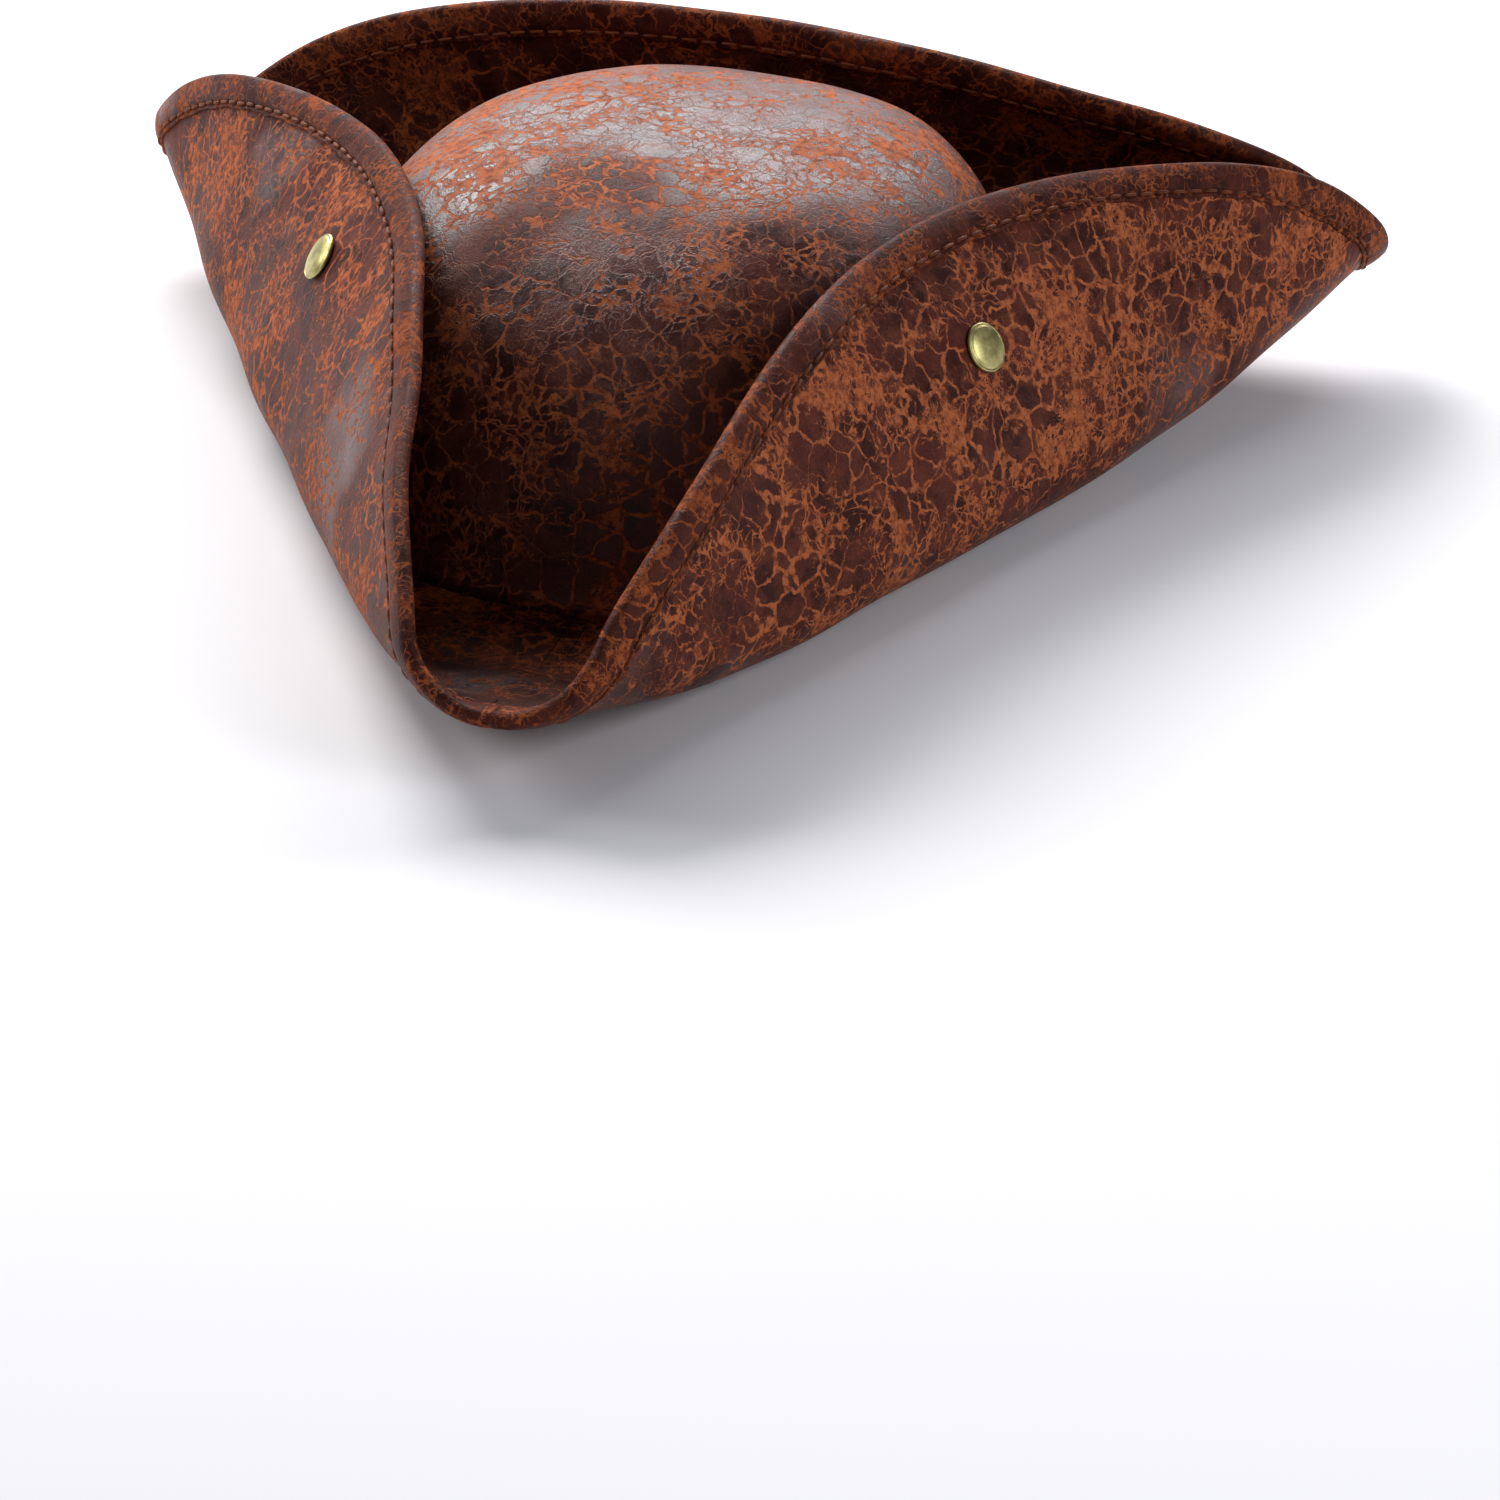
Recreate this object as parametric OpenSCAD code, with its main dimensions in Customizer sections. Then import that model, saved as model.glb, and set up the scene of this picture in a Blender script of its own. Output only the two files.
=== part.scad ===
// Pirate hat: a blocked crown on a round brim whose edge is turned up into three flaps.
// Origin: centre of the head opening, on the level of the brim's underside.
// The front corner points towards -Y and +Z is up. Millimetres and degrees.
//
// The brim is one flat blank bent along three straight folds. Every brim piece is laid
// out on that flat blank first and then carried to its folded place by brim_point().

/* [Brim blank] */
// Mean radius of the brim blank
blank_r = 188.3; // [186:0.1:191]
// How much shorter the blank is at the front than at the back
blank_front_cut = 14.5; // [12:0.1:16]
// How much narrower the blank is along its length than across
blank_side_gain = 2.9; // [1:0.1:4]
// Three-cornered swelling of the blank towards its corners
blank_corner_gain = 6.9; // [5:0.1:8]
// How far the head opening sits behind the centre of the blank
opening_back = 6; // [3:0.5:8]

/* [Folds] */
// Distance of the front meeting point of the side folds from the blank's centre
fold_front = 207.5; // [206:0.5:210]
// Half the distance between the rear meeting points of the folds
fold_rear_x = 178.5; // [177:0.5:181]
// Distance of the rear meeting points behind the blank's centre
fold_rear_y = 127; // [126:0.5:129]
// Half of the width of blank that bends along a side fold
side_bend = 14; // [13:0.1:15]
// Half of the width of blank that bends along the back fold
back_bend = 26; // [24:0.1:27]
// Angle through which a side flap is turned up at mid length
side_turn = 104; // [100:0.5:105]
// Extra turn of a side flap towards its rear end
side_turn_gain = 7; // [4:0.5:9]
// Angle through which the back flap is turned up
back_turn = 103.5; // [100:0.5:106]
// Twist of the back flap: it stands more upright at the left corner than at the right
back_twist = 27.5; // [10:0.5:28]
// Inward curl of a side flap for each 100 mm of its height
side_curl = 50; // [40:1:51]
// Outward flare of the back flap for each 100 mm of its height
back_flare = 6; // [3:1:12]
// How much the ends of a side flap lean out more than its middle
side_bow = 20; // [14:0.5:24]
// How much the ends of the back flap lean in more than its middle
back_bow = 6.5; // [4:0.5:10]
// Height gained by the front corner
front_lift = 30.5; // [27:0.5:33]
// Height gained by each rear corner
rear_lift = 30; // [27:0.5:32]

/* [Crown] */
// Half width of the crown at the brim
crown_half_w = 85; // [84:0.5:86]
// Half length of the crown at the brim
crown_half_l = 101; // [99:0.5:102]
// Half width of the crown where it is fullest
crown_full_w = 87; // [86:0.5:88]
// Height of the crown above the table
crown_h = 85.5; // [84:0.5:87]
// Fullness of the shoulder: higher is squarer
shoulder = 3.4; // [3.3:0.1:3.7]
// Wall thickness of the crown
crown_wall = 2.2; // [1.6:0.1:2.6]

/* [Layers and trim] */
// Thickness of each facing of the brim
facing_t = 0.9; // [0.7:0.1:1]
// Thickness of the stiffener between the facings
core_t = 0.5; // [0.4:0.1:0.6]
// Width of the binding on each face of the brim
binding_w = 8; // [6:0.5:10]
// Thickness of the binding tape
binding_t = 0.8; // [0.6:0.1:1]
// Distance of the stitching from the edge
stitch_inset = 6.5; // [5:0.1:7]
// Distance from one stitch to the next
stitch_pitch = 10; // [8:0.5:14]
// Height of the sweatband
sweatband_h = 30; // [24:1:34]

/* [Press studs] */
// Diameter of the domed cap
cap_d = 12.5; // [11:0.5:14]
// Place of the right cap along its fold, behind the fold's middle
right_cap_along = 11.5; // [6:0.5:18]
// Place of the right cap above its fold, measured on the flap
right_cap_up = 48; // [46:0.5:50]
// Place of the left cap along its fold, behind the fold's middle
left_cap_along = 20; // [14:0.5:24]
// Place of the left cap above its fold, measured on the flap
left_cap_up = 52; // [48:0.5:53]

/* [Hidden] */

leather = [0.43, 0.22, 0.12];
leather_dark = [0.27, 0.13, 0.09];
leather_trim = [0.35, 0.16, 0.10];
board = [0.55, 0.50, 0.42];
cloth = [0.12, 0.10, 0.09];
thread = [0.72, 0.40, 0.22];
brass = [0.70, 0.62, 0.35];

gap = 0.05;            // between layers that are glued or sewn together
fold_gap = 0.6;        // between a flap and the brim, measured across the fold
flap_min_h = 3;        // a flap ends where it is lower than this
binding_min_h = 5.5;   // and its binding where it is lower than this
small_bend = 5;        // how sharply a bend tightens towards the corners
wall_low = 22;         // a flap starts to bow at this height
wall_rise = 60;        // and has its whole bow this much higher
brim_t = 2 * facing_t + core_t + 2 * gap;
crown_plan = 2.2;      // squareness of the crown's oval
hole_clear = 0.1;      // round a shank or a stem
hole_reach = 10;       // a hole's tool runs this far to both sides of the sheet

// ---- Flat blank -----------------------------------------------------------------

function unit(v) = v / norm(v);
function smooth(t) = let(c = min(max(t, 0), 1)) c * c * (3 - 2 * c);

// Radius of the blank in the direction of a point; angle 0 is the front
function blank_edge(p) =
    let(a = atan2(p.x, -p.y))
    blank_r - blank_front_cut * cos(a) - blank_side_gain * cos(2 * a)
        + blank_corner_gain * cos(3 * a);
function inside(p) = norm(p) < blank_edge(p);

front_corner = [0, -fold_front];
right_corner = [fold_rear_x, fold_rear_y];
left_corner = [-fold_rear_x, fold_rear_y];

function half_angle(p, q, r) = acos(unit(q - p) * unit(r - p)) / 2;
front_half = half_angle(front_corner, right_corner, left_corner);
rear_half = half_angle(right_corner, front_corner, left_corner);

// A fold: start, end, half-angles of the corners there, bend, turn, gain, curl, bow,
// and the place of its cap along the fold and above it
right_fold = [front_corner, right_corner, front_half, rear_half,
              side_bend, side_turn, side_turn_gain, -side_curl, side_bow,
              right_cap_along, right_cap_up];
left_fold = [front_corner, left_corner, front_half, rear_half,
             side_bend, side_turn, side_turn_gain, -side_curl, side_bow,
             left_cap_along, left_cap_up];
back_fold = [right_corner, left_corner, rear_half, rear_half,
             back_bend, back_turn, -back_twist, back_flare, -back_bow];
folds = [right_fold, left_fold, back_fold];

function fold_length(f) = norm(f[1] - f[0]);
function fold_along(f) = unit(f[1] - f[0]);
function fold_out(f) =
    let(t = fold_along(f), n = [t.y, -t.x])
    n * (f[0] + f[1]) > 0 ? n : -n;
function blank_point(f, s, v) = f[0] + fold_along(f) * s + fold_out(f) * v;

// Half of the bending width at a place along the fold; it closes up in the corners
function bend(f, s) =
    let(a = max(s, 0.001) * tan(f[2]), b = max(fold_length(f) - s, 0.001) * tan(f[3]))
    pow(pow(f[4], -small_bend) + pow(a, -small_bend) + pow(b, -small_bend), -1 / small_bend);

// ---- Folded brim ----------------------------------------------------------------

// Height that the corners gain over the flat middle
function corner_lift(p) =
    let(reach = norm(right_corner), start_rear = 70, start_front = 90,
        r = max((abs(p.x) * fold_rear_x + p.y * fold_rear_y) / reach - start_rear, 0)
            / (reach - start_rear),
        f = max(-p.y - start_front, 0) / (fold_front - start_front))
    rear_lift * r * r + front_lift * f * f;

// Where a strip of blank of width w lands across the fold: [outwards, upwards]
function strip(f, s, w) =
    let(b = bend(f, s), mid = fold_length(f) / 2,
        turn = f[5] + f[6] * (s - mid) / mid,
        bent = turn * min(w, 2 * b) / (2 * b), r = 2 * b / (turn * PI / 180),
        rest = max(w - 2 * b, 0), lean = turn - f[7] / 100 * rest / 2)
    [r * sin(bent) + rest * cos(lean) - b, r * (1 - cos(bent)) + rest * sin(lean)];

function folded(f, s, v) =
    let(q = strip(f, s, v + bend(f, s)), mid = fold_length(f) / 2,
        bow = f[8] * pow((s - mid) / mid, 2) * smooth((q[1] - wall_low) / wall_rise),
        p = blank_point(f, s, q[0] + bow))
    [p.x, p.y, q[1] + corner_lift(p)];

// The folded place of any point of the blank
function brim_surface(p) =
    let(hits = [for (f = folds)
            let(s = (p - f[0]) * fold_along(f), v = (p - f[0]) * fold_out(f))
            if (s > 0 && s < fold_length(f) && v > -bend(f, s)) folded(f, s, v)])
    len(hits) > 0 ? hits[0] : [p.x, p.y, corner_lift(p)];

// The same, raised by a distance d towards the face that looks up or at the crown
function brim_normal(p) =
    let(e = 0.4)
    unit(cross(brim_surface(p + [e, 0]) - brim_surface(p - [e, 0]),
               brim_surface(p + [0, e]) - brim_surface(p - [0, e])));
function brim_point(p, d) = brim_surface(p) + brim_normal(p) * d - [0, opening_back, 0];

// Distance from the fold to the edge of the blank, by halving
function edge_v(f, s, low = -60, high = 140, n = 22) =
    n == 0 ? (low + high) / 2 :
    let(m = (low + high) / 2)
    inside(blank_point(f, s, m)) ? edge_v(f, s, m, high, n - 1) : edge_v(f, s, low, m, n - 1);

// Place along the fold where the edge of the blank is h beyond it; side is 0 or 1
function end_s(f, h, side, low = 0, high = 0.5, n = 18) =
    let(m = (low + high) / 2, s = fold_length(f) * (side == 0 ? m : 1 - m))
    n == 0 ? s :
    edge_v(f, s) > h ? end_s(f, h, side, low, m, n - 1) : end_s(f, h, side, m, high, n - 1);

// ---- Closed solids from grids of points -----------------------------------------

function flat_list(rows) = [for (r = rows) for (p = r) p];

// Triangles of a grid with rows x cols points, from index o; flip turns them over
function grid_faces(rows, cols, o, wrap, flip) =
    [for (i = [0 : wrap ? rows - 1 : rows - 2]) for (j = [0 : cols - 2])
        let(a = o + i * cols + j, b = o + ((i + 1) % rows) * cols + j)
        each (flip ? [[a, b, b + 1], [a, b + 1, a + 1]] : [[a, b + 1, b], [a, a + 1, b + 1]])];

// Triangles that join two matching loops of point numbers
function rim_faces(low, high, wrap) =
    [for (i = [0 : wrap ? len(low) - 1 : len(low) - 2])
        let(k = (i + 1) % len(low))
        each [[low[i], low[k], high[k]], [low[i], high[k], high[i]]]];

// A sheet between two grids of the same size: an open patch
module patch(low, high) {
    rows = len(low);
    cols = len(low[0]);
    n = rows * cols;
    loop = concat([for (i = [0 : rows - 1]) i * cols],
                  [for (j = [1 : cols - 1]) (rows - 1) * cols + j],
                  [for (i = [rows - 2 : -1 : 0]) i * cols + cols - 1],
                  [for (j = [cols - 2 : -1 : 1]) j]);
    polyhedron(points = concat(flat_list(low), flat_list(high)),
               faces = concat(grid_faces(rows, cols, 0, false, false),
                              grid_faces(rows, cols, n, false, true),
                              rim_faces(loop, [for (k = loop) k + n], true)));
}

// A ring between two grids whose rows go once round
module ring(low, high) {
    rows = len(low);
    cols = len(low[0]);
    n = rows * cols;
    first = [for (i = [0 : rows - 1]) i * cols];
    last = [for (i = [rows - 1 : -1 : 0]) i * cols + cols - 1];
    polyhedron(points = concat(flat_list(low), flat_list(high)),
               faces = concat(grid_faces(rows, cols, 0, true, false),
                              grid_faces(rows, cols, n, true, true),
                              rim_faces(first, [for (k = first) k + n], true),
                              rim_faces(last, [for (k = last) k + n], true)));
}

// The binding's cross-section has 8 points; its ends are closed as three quads
binding_quads = [[0, 1, 6, 7], [1, 2, 5, 6], [2, 3, 4, 5]];

// A bar swept through cross-sections of 8 points each. On its face 6, against the outer
// facing, the quads are cut the other way, as the facing's own are
module bar(sections) {
    rows = len(sections);
    k = len(sections[0]);
    side = [for (i = [0 : rows - 2]) for (j = [0 : k - 1])
        let(a = i * k + j, b = i * k + (j + 1) % k)
        each (j == 6 ? [[a, b, a + k], [b, b + k, a + k]] : [[a, b, b + k], [a, b + k, a + k]])];
    o = (rows - 1) * k;
    ends = [for (q = binding_quads)
        each [[q[2], q[1], q[0]], [q[3], q[2], q[0]],
              [q[0] + o, q[1] + o, q[2] + o], [q[0] + o, q[2] + o, q[3] + o]]];
    polyhedron(points = flat_list(sections), faces = concat(side, ends));
}

// Places its children in a frame: x along a, z along n
module in_frame(origin, a, n) {
    z = unit(n);
    y = unit(cross(z, a));
    x = cross(y, z);
    multmatrix([[x.x, y.x, z.x, origin.x],
                [x.y, y.y, z.y, origin.y],
                [x.z, y.z, z.z, origin.z],
                [0, 0, 0, 1]]) children();
}

// ---- Brim pieces ----------------------------------------------------------------

fold_steps = 17;       // pieces of the brim along one fold
flap_steps = 24;       // pieces of a flap along its bound edge
tip_steps = 5;         // pieces of the brim's edge across a corner
brim_rows = [0, 0.45, 0.75, 0.9, 1];
flap_rows = [0, 0.12, 0.28, 0.5, 0.7, 0.86, 1];

function spread(a, b, n) = [for (i = [0 : n]) a + (b - a) * (1 - cos(180 * i / n)) / 2];

// Unit vector from an edge point into the blank, square to the edge
function edge_in(p) =
    let(e = 0.05, t = [-p.y, p.x] / norm(p),
        a = unit(p + t * e) * blank_edge(p + t * e), b = unit(p - t * e) * blank_edge(p - t * e),
        m = unit(a - b))
    [-m.y, m.x];

// Edge of the fixed part of the brim: along each fold, then across the corner
function fold_side(f, back) =
    let(h = -fold_gap / 2, a = end_s(f, h, 0), b = end_s(f, h, 1))
    [for (s = back ? spread(b, a, fold_steps) : spread(a, b, fold_steps)) blank_point(f, s, h)];
function tip(p, q) =
    [for (i = [1 : tip_steps - 1]) let(m = p + (q - p) * i / tip_steps) unit(m) * blank_edge(m)];
right_side = fold_side(right_fold, false);
back_side = fold_side(back_fold, false);
left_side = fold_side(left_fold, true);
right_tip = tip(right_side[fold_steps], back_side[0]);
left_tip = tip(back_side[fold_steps], left_side[0]);
front_tip = tip(left_side[fold_steps], right_side[0]);
brim_border = concat(right_side, right_tip, back_side, left_tip, left_side, front_tip);

// The brim runs from the head opening to its edge; its last rows are as wide as the binding
opening_centre = [0, opening_back];
opening_lap = 1.6;     // of the crown's wall stands on the brim
function brim_dir(p) = unit(p - opening_centre);
function opening_r(d) =
    pow(pow(abs(d.x) / (crown_half_w - opening_lap), crown_plan)
        + pow(abs(d.y) / (crown_half_l - opening_lap), crown_plan), -1 / crown_plan);
brim_grid = [for (p = brim_border)
    let(d = brim_dir(p), q = opening_centre + d * opening_r(d), m = p - d * binding_w)
    concat([for (t = brim_rows) q + (m - q) * t], [(m + p) / 2, p])];

function raise(grid, d) = [for (row = grid) [for (p = row) brim_point(p, d)]];

// The three layers, counted from the outer face: facing, stiffener, facing
layers = [[0, facing_t],
          [facing_t + gap, facing_t + gap + core_t],
          [facing_t + 2 * gap + core_t, brim_t]];

module brim_layer(k) {
    ring(raise(brim_grid, layers[k][0]), raise(brim_grid, layers[k][1]));
}

// Columns of a flap, from the fold to the inner border of the binding and on to the edge
function flap_column(f, s) =
    let(p = edge_point(f, s), q = edge_in(p), h = fold_gap / 2,
        w = min(binding_w, (edge_v(f, s) - h - 0.4) / max(-q * fold_out(f), 0.05)),
        m = p + q * w, foot = blank_point(f, (m - f[0]) * fold_along(f), h))
    concat([for (t = flap_rows) foot + (m - foot) * t], [p]);
function bound_s(f) =
    spread(end_s(f, binding_min_h, 0), end_s(f, binding_min_h, 1), flap_steps);
function flap_grid(f) =
    [for (s = concat([end_s(f, flap_min_h, 0)], bound_s(f), [end_s(f, flap_min_h, 1)]))
        flap_column(f, s)];

// Keeps the blank's points in the same turning sense on the left as on the right
function turned(f, rows) =
    cross(fold_along(f), fold_out(f)) < 0 ? rows : [for (i = [len(rows) - 1 : -1 : 0]) rows[i]];

module flap_layer(f, k, hole_r) {
    grid = turned(f, flap_grid(f));
    difference() {
        patch(raise(grid, layers[k][0]), raise(grid, layers[k][1]));
        if (len(f) > 10) at_cap(f)
            translate([0, 0, -hole_reach]) cylinder(r = hole_r, h = 2 * hole_reach, $fn = 32);
    }
}

// ---- Binding and stitching ------------------------------------------------------

tape_slack = 0.35;     // between the edge of the brim and the fold of the tape
flap_play = 0.1;       // between the tape and a flap
corner_play = 0.55;    // and at the sharply bent corners

// Cross-section of the binding at edge point p: a U whose legs run along q, with some play
function binding_section(p, q, play) =
    let(lo = -play, hi = brim_t + play, out = -q * tape_slack)
    [brim_point(p + q * binding_w, lo - binding_t),
     brim_point(p - q * binding_t, lo - binding_t),
     brim_point(p - q * binding_t, hi + binding_t),
     brim_point(p + q * binding_w, hi + binding_t),
     brim_point(p + q * binding_w, hi),
     brim_point(p + out, hi),
     brim_point(p + out, lo),
     brim_point(p + q * binding_w, lo)];

function edge_point(f, s) = blank_point(f, s, edge_v(f, s));

// The binding of a flap as a row of cross-sections
function bound_tape(f) = turned(f, [for (s = bound_s(f))
    let(p = edge_point(f, s)) binding_section(p, edge_in(p), flap_play)]);

module flap_binding(f) {
    bar(bound_tape(f));
}

// Short lengths of the same tape across the three corners of the fixed part
module corner_bindings_at() {
    for (t = [concat([right_side[fold_steps]], right_tip, [back_side[0]]),
              concat([back_side[fold_steps]], left_tip, [left_side[0]]),
              concat([left_side[fold_steps]], front_tip, [right_side[0]])])
        bar([for (p = t) binding_section(p, -brim_dir(p), corner_play)]);
}

stitch_share = 0.75;   // of the distance from one stitch to the next that is thread
thread_w = 0.8;        // width of a stitch
thread_t = 0.5;        // height of a stitch
stitch_clear = 0.12;   // keeps the straight stitches off the twisted tape
oval_clear = 0.3;      // and off the crown and the sweatband

// One stitch from one place to the next, lying on a surface with normal n
module stitch(a, b, n) {
    in_frame((a + b) / 2, b - a, n)
        translate([-norm(b - a) / 2, -thread_w / 2, 0])
            cube([norm(b - a), thread_w, thread_t]);
}

// Stitches in a row along one flat stretch of tape, from a to b
module stitches(a, b, n) {
    count = round(norm(b - a) / stitch_pitch);
    half = stitch_share / 2;
    for (i = [0 : 1 : count - 1])
        stitch(a + (b - a) * (i + 0.5 - half) / count,
               a + (b - a) * (i + 0.5 + half) / count, n);
}

// A row of stitches on both faces of a flap, along its binding. In a cross-section of the
// tape, points 0 and 1 are the inner border and the edge on one face, 3 and 2 on the other.
// Each stretch is two triangles; the stitches lie on the one along the inner border
module flap_stitches(f) {
    tape = bound_tape(f);
    share = (binding_w - stitch_inset) / (binding_w + binding_t);
    for (i = [0 : len(tape) - 2], face = [[0, 1, i + 1, 2], [3, 2, i, 1]]) {
        border = [tape[i][face[0]], tape[i + 1][face[0]]];
        across = tape[face[2]][face[1]] - tape[face[2]][face[0]];
        square = unit(cross(border[1] - border[0], across));
        up = square * (tape[i][face[1]] - tape[i][face[3]]) > 0 ? square : -square;
        shift = across * share + up * stitch_clear;
        stitches(border[0] + shift, border[1] + shift, up);
    }
}

// ---- Crown, lining, sweatband ---------------------------------------------------

crown_segments = 36;
crown_rows = 9;
dome_end = 88.5;               // the last ring of a dome stops this near the top, in degrees
crown_foot = brim_t + 1.2;     // the crown stands on the brim where it starts to bend
crown_lean = 12;               // the top of the crown sits this much further back
crown_taper = 17;              // and it is this much shorter each way
crown_fill_z = 30;             // the crown has its full width at this height

function crown_width(z) =
    crown_half_w + (crown_full_w - crown_half_w) * smooth(z / crown_fill_z);

// Point of an oval ring of the crown at height z, moved in by d
function crown_rim(z, rho, d, a) =
    let(q = 2 / crown_plan, g = crown_width(z), l = crown_half_l - crown_taper * z / crown_h)
    [sign(cos(a)) * pow(abs(cos(a)), q) * (g - d) * rho,
     sign(sin(a)) * pow(abs(sin(a)), q) * (l - d) * rho + crown_lean * z / crown_h,
     z];

// A dome from height z0 up to the top, d inside the crown's outer face
function dome(z0, d) =
    let(u0 = asin(pow(z0 / crown_h, shoulder / 2)), q = 2 / shoulder)
    [for (i = [0 : crown_segments - 1])
        [for (k = [0 : crown_rows])
            let(u = u0 + (dome_end - u0) * k / crown_rows)
            crown_rim((crown_h - d) * pow(sin(u), q), pow(cos(u), q), d,
                      360 * i / crown_segments)]];

// Middle of a dome's last ring
function top(g) =
    let(c = [for (r = g) r[len(r) - 1]], weights = [for (p = c) 1 / len(c)])
    [for (k = [0 : 2]) [for (p = c) p[k]] * weights];

// Closes two nested domes, outer and inner, into a shell with a solid top
module shell(outer, inner) {
    rows = len(outer);
    cols = len(outer[0]);
    n = rows * cols;
    first = [for (i = [0 : rows - 1]) i * cols];
    last = [for (i = [0 : rows - 1]) i * cols + cols - 1];
    mid_out = 2 * n;
    mid_in = 2 * n + 1;
    polyhedron(points = concat(flat_list(outer), flat_list(inner), [top(outer), top(inner)]),
               faces = concat(grid_faces(rows, cols, 0, true, false),
                              grid_faces(rows, cols, n, true, true),
                              [for (i = [0 : rows - 1])
                                  [last[i], mid_out, last[(i + 1) % rows]]],
                              [for (i = [0 : rows - 1])
                                  [last[i] + n, last[(i + 1) % rows] + n, mid_in]],
                              rim_faces(first, [for (k = first) k + n], true)));
}

module crown_body() {
    difference() {
        shell(dome(crown_foot, 0), dome(crown_foot, crown_wall));
        for (f = [right_fold, left_fold])
            at_ball(f)
                cylinder(r = stem_r + hole_clear, h = neck_length(f) + hole_reach, $fn = 32);
    }
}

lining_inset = 6.4;
lining_t = 0.8;
lining_lap = 4;        // the sweatband covers this much of the lining
band_t = 1.2;
band_inset = crown_wall + 0.3;
band_foot = 0.3;       // the sweatband starts at this height
band_lean = 1.2;       // and leans in by this much

module lining_body() {
    foot = sweatband_h - lining_lap;
    shell(dome(foot, lining_inset), dome(foot, lining_inset + lining_t));
}

function band_ring(z, d) =
    [for (i = [0 : crown_segments - 1]) crown_rim(z, 1, d, 360 * i / crown_segments)];
function band_grid(d) =
    let(low = band_ring(band_foot, d), high = band_ring(sweatband_h, d + band_lean))
    [for (i = [0 : crown_segments - 1]) [low[i], high[i]]];

module band_body() {
    ring(band_grid(band_inset), band_grid(band_inset + band_t));
}

band_seam_z = 3;                // height of the stitches of the sweatband
crown_seam_z = crown_foot + 2;  // and of the crown's seam

// A point on one of the flat faces of the crown
function on_facet(z, d, a) =
    let(w = 360 / crown_segments, k = floor(a / w), t = a / w - k)
    crown_rim(z, 1, d, k * w) * (1 - t) + crown_rim(z, 1, d, (k + 1) * w) * t;

// Stitches round an oval ring of the crown, two to each of its flat faces
module oval_stitches(z, d, inward) {
    count = 2 * crown_segments;
    for (i = [0 : count - 1]) {
        a = 360 * (i + 0.5) / count;
        half = 360 / count * stitch_share / 2;
        p = on_facet(z, d, a - half);
        q = on_facet(z, d, a + half);
        stitch(p, q, (inward ? -1 : 1) * unit([(q - p).y, -(q - p).x, 0]));
    }
}

// ---- Press studs ----------------------------------------------------------------

// Frame of the cap and the socket: z points from the flap's outer face to its inner face
function cap_place(f) = blank_point(f, fold_length(f) / 2 + f[9], f[10]);
module at_cap(f) {
    p = cap_place(f);
    in_frame(brim_point(p, 0), [0, 1, 0], brim_normal(p)) children();
}

cap_gap = 0.1;         // between the cap and the flap
shank_r = 1.5;
socket_r = 4;
socket_hole_r = 2.3;
socket_t = 2.4;
bore_clear = 0.03;     // of the socket's plate round the shank
socket_plate = 0.35;   // closed back of the socket, round the shank
ball_r = 1.5;          // the head of the stud
neck_r = 1;
flange_r = 3;          // foot of the stud on the crown
flange_t = 0.5;
flange_gap = 0.1;      // between the foot and the crown
stem_r = 1.3;          // through the wall of the crown
post_r = 4;
post_t = 0.6;
facet_clear = 1.3;     // the post clears the flat faces of the crown's inside
socket_gap = 0.35;     // and the socket those of the flap
ball_play = 0.1;       // between the ball and the plate
ball_at = brim_t + socket_gap + socket_plate + ball_r + ball_play;

// Zero on the crown's outer face and more than zero outside it
function crown_level(p) =
    let(h = min(max(p.z / crown_h, 0), 0.999), l = crown_half_l - crown_taper * h)
    pow(pow(abs(p.x) / crown_width(p.z), crown_plan)
            + pow(abs(p.y - crown_lean * h) / l, crown_plan), 1 / crown_plan)
        - pow(1 - pow(h, shoulder), 1 / shoulder);
function crown_in(p) =
    let(e = 0.5)
    -unit([for (k = [[e, 0, 0], [0, e, 0], [0, 0, e]]) crown_level(p + k) - crown_level(p - k)]);

// Distance from a point to the crown along n, by halving
function crown_distance(p, n, low = 0, high = 12, k = 20) =
    let(m = (low + high) / 2)
    k == 0 ? m :
    crown_level(p + n * m) > 0 ? crown_distance(p, n, m, high, k - 1)
                               : crown_distance(p, n, low, m, k - 1);

// Frame of the stud: z goes square into the crown from the ball in the socket
function ball_place(f) = brim_point(cap_place(f), ball_at);
function neck_length(f) = let(c = ball_place(f)) crown_distance(c, crown_in(c));
module at_ball(f) {
    c = ball_place(f);
    in_frame(c, [0, 1, 0], crown_in(c)) children();
}

// Domed cap with a rolled rim, and the shank behind it
module cap_body(f) {
    r = cap_d / 2;
    at_cap(f) {
        rotate_extrude($fn = 64)
            polygon([[0, -cap_gap], [r - 0.3, -cap_gap], [r, -0.4], [r, -0.9], [r - 0.4, -1.2],
                     [r - 0.9, -1.15], [r * 0.6, -1.75], [r * 0.3, -2], [0, -2.1]]);
        translate([0, 0, -cap_gap])
            cylinder(r = shank_r, h = brim_t + socket_gap + socket_plate, $fn = 32);
    }
}

module socket_body(f) {
    bore = shank_r + bore_clear;
    at_cap(f) translate([0, 0, brim_t + socket_gap])
        rotate_extrude($fn = 64)
            polygon([[bore, 0], [socket_r, 0], [socket_r, socket_t - 0.4],
                     [socket_r - 0.4, socket_t], [socket_hole_r, socket_t],
                     [socket_hole_r, socket_plate], [bore, socket_plate]]);
}

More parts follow.
